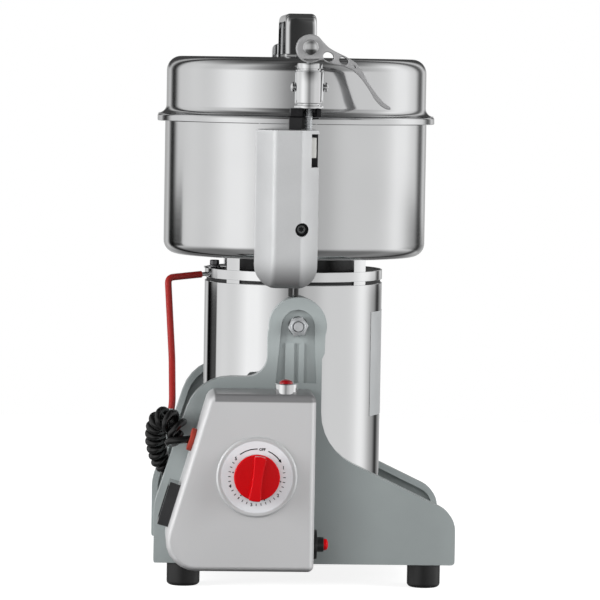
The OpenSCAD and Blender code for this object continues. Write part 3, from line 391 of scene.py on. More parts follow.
def laminations():
    """The stacked sheets of the motor's irons."""
    f = new_finish("lamination_steel")
    sheets = f.noise(1.0, 1, (1, 1, 1900))
    return f.surface(
        Base_Color=f.tint(sheets, rgb(70, 70, 74), rgb(120, 120, 124)),
        Metallic=0.8,
        Roughness=sheets.between(0.4, 0.6),
        Normal=f.relief(sheets, 0.0002),
    )


def copper():
    """Enamelled winding wire, turn beside turn."""
    f = new_finish("copper")
    turns = f.noise(1.0, 1, (900, 900, 40))
    return f.surface(
        Base_Color=f.tint(turns, rgb(150, 82, 42), rgb(206, 128, 78)),
        Metallic=0.9,
        Roughness=turns.between(0.25, 0.45),
        Normal=f.relief(turns, 0.0002),
    )


def moulded(name, dark, light, rough, coat=0.0, shine=0.5, depth=0.00005):
    """A moulded plastic or rubber with a fine grain."""
    f = new_finish(name)
    grain = f.noise(1400, 2)
    cloud = f.noise(40, 3)
    return f.surface(
        Base_Color=f.tint(cloud, dark, light),
        Roughness=cloud.between(rough - 0.05, rough + 0.07),
        Specular_IOR_Level=shine,
        Coat_Weight=coat,
        Coat_Roughness=0.08,
        Normal=f.relief(grain, depth, 0.4),
    )


def red_lens():
    """The lamp's clear red cap."""
    f = new_finish("red_lens")
    depth = f.noise(300, 2)
    return f.surface(
        Base_Color=f.tint(depth, rgb(124, 4, 12), rgb(176, 14, 24)),
        Roughness=0.08,
        Transmission_Weight=0.35,
        IOR=1.49,
        Coat_Weight=0.6,
    )


def make_materials():
    """Every finish by its name. The names of the record's slots are among them."""
    black, soft_black = rgb(14, 14, 15), rgb(30, 30, 31)
    coat = rgb(178, 179, 180), rgb(208, 209, 210)
    return {
        "cast_enamel": cast_enamel(),
        "box_silver": box_silver(),
        "cast_silver": cast_silver("cast_silver", *coat),
        "handle_silver": cast_silver("handle_silver", *coat, painted_shade=painted_handle_shade),
        "lever_silver": cast_silver("lever_silver", rgb(124, 124, 125), rgb(206, 206, 207), 0.55),
        "polished_steel": polished_steel(),
        "brushed_steel": brushed_steel(),
        "dark_steel": dark_steel(),
        "bright_zinc": bright_zinc(),
        "blackened_steel": blackened_steel(),
        "lamination_steel": laminations(),
        "copper": copper(),
        "black_plastic": moulded("black_plastic", black, soft_black, 0.32, 0.2),
        "black_rubber": moulded("black_rubber", black, rgb(27, 27, 27), 0.42, 0.1),
        "black_paint": moulded("black_paint", black, soft_black, 0.45),
        "graphite": moulded("graphite", rgb(24, 24, 26), rgb(46, 46, 50), 0.5),
        "red_plastic": moulded("red_plastic", rgb(174, 0, 6), rgb(188, 1, 12), 0.17, 0.0, 0.22),
        "red_rubber": moulded("red_rubber", rgb(128, 27, 24), rgb(142, 34, 30), 0.34, 0.0, 0.42),
        "brick_rubber": moulded("brick_rubber", rgb(142, 52, 42), rgb(156, 60, 48), 0.5, 0.0, 0.2),
        "red_lens": red_lens(),
        "white_plastic": moulded("white_plastic", rgb(222, 222, 218), rgb(236, 236, 232), 0.4),
        "cord_black": moulded("cord_black", rgb(5, 5, 5), rgb(11, 11, 11), 0.2, 0.4, 0.35),
        "dial_ink": moulded("dial_ink", rgb(10, 10, 12), rgb(26, 26, 28), 0.5, 0.0, 0.2),
        "dial_face": moulded("dial_face", rgb(196, 198, 201), rgb(206, 208, 211), 0.4),
        "dial_rim": cast_silver("dial_rim", rgb(206, 207, 208), rgb(222, 223, 224), 0.6),
        "label_grey": moulded("label_grey", rgb(150, 152, 153), rgb(164, 166, 167), 0.4, 0.1),
        "inlet_black": moulded("inlet_black", rgb(28, 28, 29), rgb(46, 46, 48), 0.22, 0.6),
        "screw_socket": moulded("screw_socket", rgb(96, 98, 98), rgb(130, 132, 132), 0.4),
    }


# ---------------------------------------------------------------- making meshes

ROUND = 160           # sides of a large turned piece
SMALL_ROUND = 64      # sides of a small one
SHARP = math.radians(32)


def shade(mesh, angle=SHARP):
    """Smooth shading, with edges sharper than the angle kept."""
    mesh.polygons.foreach_set("use_smooth", [True] * len(mesh.polygons))
    mesh.set_sharp_from_angle(angle=angle)
    mesh.update()


def placed(name, bm):
    """Turns a bmesh into an object in the scene."""
    mesh = bpy.data.meshes.new(name)
    bm.to_mesh(mesh)
    bm.free()
    return linked(name, mesh)


def finished(name, bm, material, nodes, angle=SHARP, body=None, slot=None):
    """Turns a bmesh into a piece that rides on its nodes' body and stands for them."""
    piece = placed(name, bm)
    shade(piece.data, angle)
    return settle(piece, material, nodes, body)


def settle(piece, material, nodes, body=None):
    """Gives a piece its finish, its body and the nodes that it stands for."""
    piece.data.materials.clear()
    piece.data.materials.append(materials[material])
    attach(piece, body or NODE_BODY[nodes[0]])
    if nodes:
        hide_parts(*nodes)
    return piece


def sweep(start, stop, step):
    """Angles in radians, from whole degrees."""
    return [math.radians(d) for d in range(start, stop, step)]


def arc(x, z, across, up, angles):
    """Points round a centre: its sine goes across and its cosine up."""
    return [(x + across * math.sin(a), z + up * math.cos(a)) for a in angles]


def spokes(count, radii, lean=0.0):
    """Points round the origin, at the radii in turn. The lean is in degrees."""
    turns = [math.radians(360 * k / count + lean) for k in range(count)]
    return [(radii[k % len(radii)] * math.cos(t), radii[k % len(radii)] * math.sin(t))
            for k, t in enumerate(turns)]


def rounded(before, corner, after, steps):
    """The points of a smooth bend that leaves one side of a corner and joins the other."""
    places = [k / steps for k in range(steps + 1)]
    return [before * (1 - t) ** 2 + corner * (2 * t * (1 - t)) + after * t * t for t in places]


def eased(points, reach, steps=3):
    """The line again, with its corners rounded. A point may carry its own reach as a third number."""
    out = [tuple(points[0][:2])]
    for before, here, after in zip(points, points[1:], points[2:]):
        own = here[2] if len(here) > 2 else reach
        b, a, c = (Vector(p[:2]) for p in (here, before, after))
        if own == 0:
            out.append(tuple(b))
            continue
        start, stop = (b + (p - b).normalized() * min(own, (p - b).length * 0.49) for p in (a, c))
        out += [tuple(p) for p in rounded(start, b, stop, steps)]
    out.append(tuple(points[-1][:2]))
    return out


def eased_loop(points, reach, steps=3):
    """A closed loop with its corners rounded."""
    around = [points[-1]] + list(points) + [points[0]]
    return eased(around, reach, steps)[1:-1]


def pushed(loop, reach):
    """The closed loop with every side moved to its left."""
    out = []
    for a, b, c in zip(loop[-1:] + loop[:-1], loop, loop[1:] + loop[:1]):
        one, two = (b - a).normalized(), (c - b).normalized()
        side, other = Vector((-one.y, one.x)), Vector((-two.y, two.x))
        middle = (side + other).normalized()
        out.append(b + middle * (reach / max(0.4, middle.dot(side))))
    return out


def skin(bm, rings, inside_out=False):
    """Joins each ring of corners to the next with four-sided faces."""
    for one, two in zip(rings, rings[1:]):
        for k in range(len(one)):
            m = (k + 1) % len(one)
            face = (one[k], two[k], two[m], one[m]) if inside_out else (one[k], one[m], two[m], two[k])
            bm.faces.new(face)


def slab(bm, loops, depth, edge, place=Matrix.Identity(4), steps=3):
    """A flat plate with rounded edges. Its outline runs anticlockwise, and its holes run clockwise."""
    bends = [math.radians(90 * k / steps) for k in range(steps + 1)]
    brim = 0.15 * MM          # of flat face, where the rounding ends
    levels = [(edge + brim, depth / 2)]
    levels += [(edge * (1 - math.sin(t)), depth / 2 - edge * (1 - math.cos(t))) for t in bends]
    levels += [(inset, -z) for inset, z in reversed(levels)]
    flat, front, back = [], [], []
    for loop in loops:
        loop = [Vector(p) for p in loop]
        rings = []
        for inset, z in levels:
            rings.append([bm.verts.new(place @ Vector((p.x, p.y, z))) for p in pushed(loop, inset)])
        skin(bm, rings, inside_out=True)
        flat.append([p.to_3d() for p in pushed(loop, levels[0][0])])
        front += rings[0]
        back += rings[-1]
    for a, b, c in tessellate_polygon(flat):
        bm.faces.new((front[a], front[b], front[c]))
        bm.faces.new((back[c], back[b], back[a]))
    bmesh.ops.recalc_face_normals(bm, faces=bm.faces)


def oval(x, y, wide, high, lean=0.0, steps=20):
    """A clockwise ring of points, for a hole. The lean is in degrees."""
    c, s = math.cos(math.radians(lean)), math.sin(math.radians(lean))
    turns = [-2 * math.pi * k / steps for k in range(steps)]
    flat = [(wide / 2 * math.cos(t), high / 2 * math.sin(t)) for t in turns]
    return [(x + a * c - b * s, y + a * s + b * c) for a, b in flat]


def scaled(points):
    """Points given in millimetres, in metres."""
    return [(x * MM, y * MM) for x, y in points]


def cut_out(piece, low, high):
    """Takes a box out of a piece."""
    bm = bmesh.new()
    bmesh.ops.create_cube(bm, size=1.0)
    middle, span = (low + high) / 2, high - low
    for v in bm.verts:
        v.co = middle + Vector(c * d for c, d in zip(v.co, span))
    cutter = placed("cutter", bm)
    cut = piece.modifiers.new("cut", "BOOLEAN")
    cut.operation, cut.solver, cut.object = "DIFFERENCE", "EXACT", cutter
    apply_modifiers(piece)
    bpy.data.objects.remove(cutter)
    shade(piece.data)


def turned(bm, profile, sides, place=Matrix.Identity(4)):
    """Adds a turned shape. The profile runs (radius, height) from the axis or round a closed loop."""
    rings = []
    for r, h in profile:
        around = spokes(sides, [r]) if r > 1e-7 else [(0, 0)]
        rings.append([bm.verts.new(place @ Vector((x, y, h))) for x, y in around])
    pairs = list(zip(rings, rings[1:]))
    if len(rings[0]) > 1 and len(rings[-1]) > 1:
        pairs.append((rings[-1], rings[0]))
    for low, high in pairs:
        for k in range(sides):
            m = (k + 1) % sides
            corners = [low[k % len(low)], low[m % len(low)], high[m % len(high)], high[k % len(high)]]
            unique = list(dict.fromkeys(corners))
            if len(unique) > 2:
                bm.faces.new(unique)
    bmesh.ops.recalc_face_normals(bm, faces=bm.faces)


def turned_piece(name, profile, material, nodes, place=Matrix.Identity(4), sides=SMALL_ROUND, **more):
    """A piece that is one turned shape."""
    bm = bmesh.new()
    turned(bm, profile, sides, place)
    return finished(name, bm, material, nodes, **more)


def merged_node(node):
    """The CAD node's mesh again as a bmesh, its seams merged and its flat faces whole."""
    bm = bmesh.new()
    bm.from_mesh(frame["nodes"][node].data)
    bmesh.ops.remove_doubles(bm, verts=bm.verts, dist=2e-6)
    bmesh.ops.dissolve_limit(bm, angle_limit=math.radians(1.0), verts=bm.verts, edges=bm.edges)
    return bm


def near_plane(edge, axis, value, reach=0.05 * MM):
    """True where both ends of an edge lie on a plane across the axis."""
    return all(abs(v[axis] - value) < reach for v in edge)


def softened_copy(node, bm, width, material=None, limit=SHARP, soft=None):
    """Makes a piece of the mesh that stands for the node, with its sharp edges rounded.

    Edges whose two ends pass the soft test keep their place, and only their shading is rounded.
    """
    piece = placed(node + "_soft", bm)
    bevel = piece.modifiers.new("bevel", "BEVEL")
    bevel.width, bevel.segments = width, 3
    bevel.limit_method, bevel.angle_limit = "ANGLE", limit
    bevel.miter_outer = "MITER_ARC"
    bevel.use_clamp_overlap = True
    apply_modifiers(piece)
    shade(piece.data)
    if soft:
        where = [v.co for v in piece.data.vertices]
        for edge in piece.data.edges:
            if soft([where[k] for k in edge.vertices]):
                edge.use_edge_sharp = False
    even = piece.modifiers.new("even", "WEIGHTED_NORMAL")
    even.keep_sharp = True
    apply_modifiers(piece)
    return settle(piece, material or NODE_SLOT[node], [node])


def apply_modifiers(piece):
    """Turns the piece with its modifiers into a plain mesh."""
    graph = bpy.context.evaluated_depsgraph_get()
    mesh = bpy.data.meshes.new_from_object(piece.evaluated_get(graph))
    piece.modifiers.clear()
    piece.data = mesh


def box_of(node):
    """The low corner, the high corner and the middle of a node's box."""
    low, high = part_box(node)
    return low, high, (low + high) / 2


def frames_along(path):
    """Tangent, side and up at each point of a path, turned as little as possible."""
    n = len(path)
    tangents = [(path[min(i + 1, n - 1)] - path[max(i - 1, 0)]).normalized() for i in range(n)]
    side = tangents[0].orthogonal().normalized()
    out = []
    for i, t in enumerate(tangents):
        if i:
            side = tangents[i - 1].rotation_difference(t) @ side
        side = (side - t * side.dot(t)).normalized()
        out.append((t, side, t.cross(side)))
    return out


def tube(bm, path, radius, sides):
    """Adds a round bar along a path."""
    rings = []
    for p, (_, side, up) in zip(path, frames_along(path)):
        rings.append([bm.verts.new(p + side * x + up * y) for x, y in spokes(sides, [radius])])
    skin(bm, rings)
    bm.faces.new(reversed(rings[0]))
    bm.faces.new(rings[-1])


def smooth_path(corners, steps):
    """A smooth curve through the points."""
    pts = [corners[0] * 2 - corners[1]] + corners + [corners[-1] * 2 - corners[-2]]
    out = []
    for a, b, c, d in zip(pts, pts[1:], pts[2:], pts[3:]):
        for k in range(steps):
            t = k / steps
            out.append(0.5 * (2 * b + (c - a) * t + (2 * a - 5 * b + 4 * c - d) * t * t
                              + (3 * b - a - 3 * c + d) * t ** 3))
    return out + [corners[-1]]


def evenly(path, step):
    """The path again, with its points about a step apart."""
    reach = [0.0]
    for a, b in zip(path, path[1:]):
        reach.append(reach[-1] + (b - a).length)
    count = max(2, round(reach[-1] / step))
    out, i = [], 0
    for k in range(count + 1):
        s = reach[-1] * k / count
        while i < len(path) - 2 and reach[i + 1] < s:
            i += 1
        span = reach[i + 1] - reach[i]
        out.append(path[i].lerp(path[i + 1], (s - reach[i]) / span if span else 0))
    return out


def length_of(path):
    """How long the path is."""
    return sum((b - a).length for a, b in zip(path, path[1:]))


def points(*rows):
    """Places given in millimetres, as vectors in metres."""
    return [Vector(r) * MM for r in rows]


# ---------------------------------------------------------------- the curly cord

CORD_R = 3.1 * MM
COIL_R = 10.4 * MM            # to the outside of a turn
TIGHTEST_PITCH = 6.35 * MM    # between turns where the coil runs straight
LEAD_ROUTE = points((-88, -125, 125.35), (-93, -125, 124.8), (-100, -124, 124), (-105.5, -120.5, 123),
                    (-106, -114.5, 121), (-102, -110.5, 120.3), (-98, -109, 122.8), (-96.5, -108.5, 127.5))
COIL_ROUTE = points((-96.5, -108.5, 127.5), (-99, -107.5, 132), (-103.5, -104.5, 137), (-109.5, -97, 139.5),
                    (-114.5, -87.5, 134), (-116.3, -77.5, 121), (-113.7, -69, 106.5), (-108, -61, 91))
TAIL_ROUTE = points((-108, -61, 91), (-106, -58, 83.5), (-101, -52, 75), (-92, -44, 68), (-78, -36, 63),
                    (-60, -29, 59), (-42, -24, 58), (-28, -22, 60), (-21, -22, 65.5), (-20, -22, 71.5))


def coil_path():
    """The cord's line through the coil: turns round the coil's middle, spread where it bends."""
    step = 0.4 * MM
    middle = evenly(smooth_path(COIL_ROUTE, 16), step)
    turn_r = COIL_R - CORD_R
    opens, closes = 2.5 * MM, 9 * MM    # the turns open and close over these lengths
    look = round(4.8 * MM / step)       # how far to each side the middle's bend is measured
    widest, narrowing = 1.08, 0.42      # the turns grow narrower towards the lower end
    apart, spread_limit = 2.06 * CORD_R, 0.72   # the turns stay apart on the inside of a bend
    frames = frames_along(middle)
    angle, out = 0.0, []
    for i, (p, (_, side, up)) in enumerate(zip(middle, frames)):
        s = i * step
        left = (len(middle) - 1 - i) * step
        a, b = max(i - look, 0), min(i + look, len(middle) - 1)
        bend = frames[a][0].angle(frames[b][0]) / ((b - a) * step)
        pitch = max(TIGHTEST_PITCH, apart / max(spread_limit, 1 - turn_r * bend))
        angle += 2 * math.pi * step / pitch
        r = turn_r * min(1, s / opens, left / closes) * (widest - narrowing * i / len(middle))
        out.append(p + (side * math.cos(angle) + up * math.sin(angle)) * r)
    return out


def curly_cord():
    """One cord through lead, coil and tail."""
    lead = evenly(smooth_path(LEAD_ROUTE, 10), 2 * MM)
    tail = evenly(smooth_path(TAIL_ROUTE, 10), 2.5 * MM)
    path = evenly(lead[:-1] + coil_path() + tail[1:], 1.6 * MM)
    bm = bmesh.new()
    tube(bm, path, CORD_R, 14)
    piece = placed("curly_cord", bm)
    shade(piece.data, math.radians(60))
    piece.data.materials.append(materials["cord_black"])
    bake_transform(piece)
    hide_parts("cord_lead", "cord_coil", "cord_tail")
    length_of(path)


# ---------------------------------------------------------------- bowl, lid and motor


def bowl():
    """The deep bowl with its rolled rim."""
    low, high, _ = box_of("bowl")
    wall, corner, rim = 1.5 * MM, 11 * MM, 3.2 * MM
    r, z0, z1 = high.x - rim, low.z, high.z
    hole = 8.5 * MM
    outside = [(hole, z0), (r - corner, z0)] + arc(r - corner, z0 + corner, corner, -corner, sweep(9, 91, 9))
    outside += [(r, z1 - 2.4 * MM), (r + 0.8 * MM, z1 - 2 * MM), (r + rim - 0.5 * MM, z1 - 2 * MM),
                (r + rim, z1 - 1.4 * MM), (r + rim, z1), (r - wall, z1)]
    inner = corner - wall
    inside = arc(r - corner, z0 + corner, inner, -inner, sweep(90, -1, -9))
    profile = outside + inside + [(hole, z0 + wall)]
    turned_piece("bowl_shell", profile, "brushed_steel", ["bowl"], sides=ROUND)


def lid():
    """The domed lid and its rolled flange."""
    low, high, _ = box_of("lid_shell")
    wall, corner, fillet = 1.5 * MM, 12 * MM, 7 * MM
    flange_r, top, lip_z = high.x, high.z, low.z
    r = flange_r - 7.4 * MM
    flange_z = lip_z + 5 * MM
    outside = [(0, top), (r - corner, top)] + arc(r - corner, top - corner, corner, corner, sweep(9, 91, 9))
    deck = flange_z + wall
    outside += arc(r + fillet, deck + fillet, -fillet, -fillet, sweep(90, -1, -9))
    bead = 2.4 * MM           # the flange's edge is rolled over
    outside += arc(flange_r - bead, deck - bead, bead, bead, sweep(0, 91, 15))
    outside += [(flange_r, lip_z + 0.6 * MM), (flange_r - 0.5 * MM, lip_z), (flange_r - wall, lip_z)]
    inner = corner - wall
    inside = [(flange_r - wall, flange_z - MM), (flange_r - wall - MM, flange_z), (r - wall, flange_z),
              (r - wall, top - corner)]
    inside += arc(r - corner, top - corner, inner, inner, sweep(81, -1, -9))
    profile = outside + inside + [(0, top - wall)]
    turned_piece("lid_dome", profile, "brushed_steel", ["lid_shell"], sides=ROUND)


def motor_shell():
    """The polished tube round the motor."""
    low, high, _ = box_of("motor_shell")
    r, z0, z1, wall, edge = high.x, low.z, high.z, 1.2 * MM, 0.4 * MM
    profile = [(r - edge, z0), (r, z0 + edge), (r, z1 - edge), (r - edge, z1),
               (r - wall, z1), (r - wall, z0)]
    turned_piece("motor_sleeve", profile, "polished_steel", ["motor_shell"], sides=ROUND)


def curved_patch(bm, r, thick, middle, half, z0, z1, steps=12):
    """A curved plate on a round wall, half to each side of its middle, in radians from +X."""
    corners = [(r, z0), (r, z1), (r - thick, z1), (r - thick, z0)]
    rows = []
    for k in range(steps + 1):
        a = middle - half + 2 * half * k / steps
        out = Vector((math.cos(a), math.sin(a), 0))
        rows.append([bm.verts.new(out * q + Vector((0, 0, z))) for q, z in corners])
    skin(bm, rows, inside_out=True)
    bm.faces.new(rows[0])
    bm.faces.new(reversed(rows[-1]))
    bmesh.ops.recalc_face_normals(bm, faces=bm.faces)


def vent_collar():
    """The band round the shell's top, its four tabs and the ear that holds the cord hook's bolt."""
    low, high, _ = box_of("vent_collar")
    r, wall, edge, tab_w = 75.5 * MM, 1.2 * MM, 0.3 * MM, 14.5 * MM
    band_top = high.z - 11.5 * MM
    band_low = band_top - 8.2 * MM
    bm = bmesh.new()
    turned(bm, [(r - edge, band_low), (r, band_low + edge), (r, band_top - edge), (r - edge, band_top),
                (r - wall, band_top), (r - wall, band_low)], ROUND)
    tab_r, half = r + 0.05 * MM, tab_w / 2 / r
    for middle in sweep(45, 360, 90):
        curved_patch(bm, tab_r, wall, middle, half, band_top, high.z)
        curved_patch(bm, tab_r, wall, middle, half, low.z, band_low)
    ear = math.radians(198)
    curved_patch(bm, r + 3 * MM, 16 * MM, ear, 8 * MM / r, band_top, band_top + 1.5 * MM)
    finished("vent_collar_band", bm, "polished_steel", ["vent_collar"])
    collar_bolt()


def collar_bolt():
    """A bolt with a domed, flanged hexagon head on the collar's ear."""
    low, high, mid = box_of("collar_bolt")
    at = Matrix.Translation((mid.x, mid.y, low.z))
    tall, flange_r, flange_h = high.z - low.z, 4.9 * MM, 0.9 * MM
    flange = [(flange_r, 0), (flange_r, flange_h), (0, flange_h), (0.01 * MM, 0)]
    bm = bmesh.new()
    turned(bm, eased(flange, 0.2 * MM), 32, at)
    slab(bm, [eased_loop(spokes(6, [4.1 * MM]), 0.5 * MM)], tall - 0.8 * MM, 0.9 * MM,
         at @ Matrix.Translation((0, 0, (tall + 0.8 * MM) / 2)))
    finished("collar_bolt_head", bm, "dark_steel", ["collar_bolt"])


def motor_label():
    """A plain grey plate on the right of the motor shell."""
    shell_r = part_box("motor_shell")[1].x
    bm = bmesh.new()
    low, high, half = 138 * MM, 226 * MM, math.radians(32)
    curved_patch(bm, shell_r + 0.25 * MM, 0.2 * MM, 0, half, low, high, 24)
    finished("motor_label", bm, "label_grey", [], body="mill", slot="box_silver")


# ---------------------------------------------------------------- small turned pieces


def upright_at(x, y):
    """Stands a turned shape at this place."""
    return Matrix.Translation((x, y, 0))


def along_x(x, y, z, side=1):
    """Lays a turned shape down: its height runs to the right from x, or to the left where side is -1."""
    return Matrix.Translation((x, y, z)) @ Matrix.Rotation(side * math.radians(90), 4, "Y")


def along_y(x, y, z, side=1):
    """Lays a turned shape down: its height runs to the front from y, or to the back where side is -1."""
    return Matrix.Translation((x, y, z)) @ Matrix.Rotation(side * math.radians(90), 4, "X")


def catch_pieces():
    """The barrel that the lever pulls on, its washer, the threaded rod and the lug under them."""
    low, high, mid = box_of("latch_barrel")
    at = upright_at(mid.x, mid.y)
    r, bore = high.x - mid.x, 3.3 * MM
    z0, z1 = low.z, high.z
    body_top, cap_low = z1 - 7 * MM, z1 - 4.5 * MM
    profile = eased([
        (bore, z0), (r - 2.4 * MM, z0), (r - 2.4 * MM, z0 + 1.7 * MM), (r - 0.3 * MM, z0 + 1.7 * MM),
        (r, z0 + 2.2 * MM), (r, body_top), (r - 0.9 * MM, body_top + 0.3 * MM),
        (r - 0.9 * MM, body_top + 0.6 * MM), (r - 0.4 * MM, body_top + 0.9 * MM),
        (r - 0.4 * MM, cap_low - 0.9 * MM), (r - 3 * MM, cap_low - 0.9 * MM),
        (r - 3 * MM, cap_low + 0.2 * MM), (r - 1.5 * MM, cap_low + 0.2 * MM),
        (r - 1.5 * MM, z1), (bore, z1)], 0.15 * MM, 2)
    turned_piece("catch_barrel", profile, "polished_steel", ["latch_barrel"], at)
    barrel_screws(mid, r, z0 + 15 * MM)
    low, high, mid = box_of("latch_washer")
    r = high.x - mid.x
    ring = eased([(bore, low.z), (r, low.z), (r, high.z), (bore, high.z)], 0.5 * MM)
    turned_piece("catch_washer", ring, "polished_steel", ["latch_washer"], at)
    catch_rod()
    catch_lug()


def barrel_screws(axis, r, z):
    """A domed set screw on each side of the barrel."""
    head = [(0, r - MM), (2.2 * MM, r - MM), (2.2 * MM, r + 0.7 * MM), (4.0 * MM, r + 0.8 * MM),
            (3.9 * MM, r + 2.0 * MM), (2.8 * MM, r + 3.1 * MM), (1.2 * MM, r + 3.5 * MM), (0, r + 3.6 * MM)]
    bm = bmesh.new()
    for side in (-1, 1):
        turned(bm, head, 32, along_x(axis.x, axis.y, z, side))
    finished("barrel_set_screws", bm, "polished_steel", [], body="lid", slot="dark_steel")


def catch_rod():
    """The threaded rod of the catch: ridges up to the barrel, plain above."""
    low, high, mid = box_of("latch_rod")
    r, pitch, depth, threaded = high.x - mid.x - 0.15 * MM, 1.5 * MM, 0.6 * MM, 24 * MM
    profile = [(0, low.z), (r - 0.8 * MM, low.z)]
    z = low.z + 0.8 * MM
    while z < low.z + threaded:
        profile += [(r - depth, z), (r, z + pitch * 0.35), (r, z + pitch * 0.65)]
        z += pitch
    profile += [(r - 0.1 * MM, z), (r - 0.1 * MM, high.z - MM), (r - MM, high.z), (0, high.z)]
    turned_piece("catch_threaded_rod", profile, "bright_zinc", ["latch_rod"], upright_at(mid.x, mid.y), 32)


def catch_lug():
    """The black lug on the lid, open to the front round the rod, and the plunger's wide head under it."""
    rod = box_of("latch_rod")[2]
    low, high, _ = box_of("latch_lug")
    lug = softened_copy("latch_lug", merged_node("latch_lug"), 0.8 * MM, "blackened_steel")
    slot = Vector((6 * MM, 0, 0))       # half of the opening's width
    cut_out(lug, Vector((rod.x, low.y - MM, low.z - MM)) - slot, Vector((rod.x, rod.y, high.z + MM)) + slot)
    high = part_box("interlock_plunger")[1]
    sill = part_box("cast_handle")[1].z + 0.6 * MM
    left, right, front, soft = high.x - MM, MM, rod.y + 0.5 * MM, 0.6 * MM
    head = [(left, front, soft), (right, front, soft), (right, high.y, soft), (left, high.y, soft)]
    bm = merged_node("interlock_plunger")
    middle = Matrix.Translation((0, 0, (sill + high.z) / 2))
    slab(bm, [eased_loop(head, MM, 2)], high.z - sill, 0.3 * MM, middle)
    softened_copy("interlock_plunger", bm, 0.3 * MM)


# The arm's upper and lower edge, from its root to its tip, in millimetres from the pin.
LEVER_TOP = ((10.2, 4.6), (14.8, 0.0), (20.1, -3.0), (28.4, -6.8), (36.7, -11.3), (42.8, -18.9),
             (48.1, -28.7), (54.9, -37.8), (60.9, -44.6), (67.0, -48.3))
LEVER_LOW = ((7.2, -10.5), (10.2, -9.8), (13.2, -12.1), (20.1, -13.6), (26.9, -15.1), (33.7, -17.3),
             (39.7, -21.9), (45.0, -28.0), (49.5, -34.7), (54.0, -42.3), (60.2, -48.3), (65.5, -50.3))


def cam_lever():
    """The lever: a round cam with a pierced, tapering arm, and the slot that the rod runs in."""
    low, high, mid = box_of("cam_lever")
    pin = box_of("cam_pin")[2]
    cam = arc(0, -1, 11.7, 11.7, sweep(38, -211, -8))
    outline = eased_loop(scaled(cam + list(LEVER_LOW) + list(reversed(LEVER_TOP))), 2.5 * MM, 2)
    holes = [oval(14.8, -7.4, 9.2, 7.4, -20), oval(27.2, -10.6, 8.0, 5.6, -24),
             oval(36.3, -15.2, 2.2, 1.0, -40)]
    bm = bmesh.new()
    place = along_y(pin.x, mid.y, pin.z)
    slab(bm, [outline] + [scaled(h) for h in holes], high.y - low.y, 0.9 * MM, place)
    lever = finished("cam_lever_arm", bm, "lever_silver", ["cam_lever"])
    slot, past, right = 3.4 * MM, 20 * MM, 6 * MM     # half of the slot's width, and how far it reaches
    cut_out(lever, Vector((pin.x - past, mid.y - slot, pin.z - past)),
            Vector((pin.x + right, mid.y + slot, pin.z + past)))
    dish = [(0, 0.9 * MM), (1.2 * MM, 0.95 * MM), (2.6 * MM, 1.1 * MM), (4.0 * MM, 1.4 * MM),
            (5.4 * MM, 1.85 * MM), (5.9 * MM, 1.9 * MM), (6.3 * MM, 1.5 * MM), (6.3 * MM, 0), (2.2 * MM, 0),
            (2.2 * MM, -7 * MM), (0, -7 * MM)]
    bm = bmesh.new()
    for face, side in ((low.y, 1), (high.y, -1)):
        turned(bm, dish, SMALL_ROUND, along_y(pin.x, face, pin.z, side))
    finished("dimpled_pin", bm, "polished_steel", ["cam_pin"])


def strap():
    """A pressed strap handle with turned-in edges, and the plates that it stands on."""
    low, high, _ = box_of("strap_handle")
    half, lean, top = 75 * MM, 6 * MM, high.z - 1.4 * MM
    foot_z = low.z + 3 * MM
    corners = [(-half - 0.4 * MM, low.z), (-half + lean, top), (half - lean, top), (half + 0.4 * MM, low.z)]
    line = [Vector((0, y, z)) for y, z in eased(corners, 13 * MM, 10)]
    w, deep, thick = 13 * MM, 6.5 * MM, 2.0 * MM
    big, small = 4.4 * MM, 2.5 * MM
    inner_w = w - thick
    right = arc(w - big, -big, big, big, sweep(0, 91, 15)) + [(w, -deep)]
    inner = [(inner_w, -deep)] + arc(inner_w - small, -thick - small, small, small, sweep(90, -1, -15))
    half_ring = right + inner
    ring = half_ring + [(-x, n) for x, n in reversed(half_ring)]
    bm = bmesh.new()
    rows = []
    for k, p in enumerate(line):
        ahead = (line[min(k + 1, len(line) - 1)] - line[max(k - 1, 0)]).normalized()
        out = Vector((0, -ahead.z, ahead.y))
        rows.append([bm.verts.new(p + Vector((x, 0, 0)) + out * n) for x, n in ring])
    skin(bm, rows)
    for row, order in ((rows[0], 1), (rows[-1], -1)):
        flat = [v.co.copy() for v in row]
        for tri in tessellate_polygon([flat]):
            bm.faces.new([row[k] for k in tri[::order]])
    plate = [(-14, -7), (14, -7), (14, 7), (-14, 7)]
    for side in (-1, 1):
        at = Matrix.Translation((0, side * (half + 2.8 * MM), foot_z - 1.5 * MM))
        slab(bm, [eased_loop(scaled(plate), 2.5 * MM)], 3 * MM, 0.6 * MM, at)
    ear = [(-18, 0, 0.5), (18, 0, 0.5), (18, 12.5, 9), (-18, 12.5, 9)]
    ear = [(x * MM, z * MM, reach * MM) for x, z, reach in ear]
    slab(bm, [eased_loop(ear, MM, 6)], 2.4 * MM, 0.5 * MM, along_y(0, half + 4 * MM, low.z))
    bmesh.ops.recalc_face_normals(bm, faces=bm.faces)
    finished("strap_handle_pressed", bm, "polished_steel", ["strap_handle"])


def feet():
    """Four round rubber feet, each with a sunk screw hole."""
    low, high, _ = box_of("rubber_feet")
    r, h, sink, bore = 13.75 * MM, high.z, 5.9 * MM, 2.1 * MM
    profile = [(sink, 0), (r - 2 * MM, 0), (r, 2 * MM), (r, h), (bore, h), (bore, h / 2), (sink, h / 2)]
    bm = bmesh.new()
    for x in (low.x + r, high.x - r):
        for y in (low.y + r, high.y - r):
            turned(bm, eased(profile, 1.2 * MM), SMALL_ROUND, upright_at(x, y))
    finished("rubber_feet_round", bm, "black_rubber", ["rubber_feet"])


SLANT = math.atan(34 / 115)       # how far the timer box's left side leans back
SLANT_TOP_X, SLANT_TOP_Z = -75 * MM, 160 * MM     # the upper end of that side
GROMMET_Y, GROMMET_Z = -125 * MM, 124.6 * MM


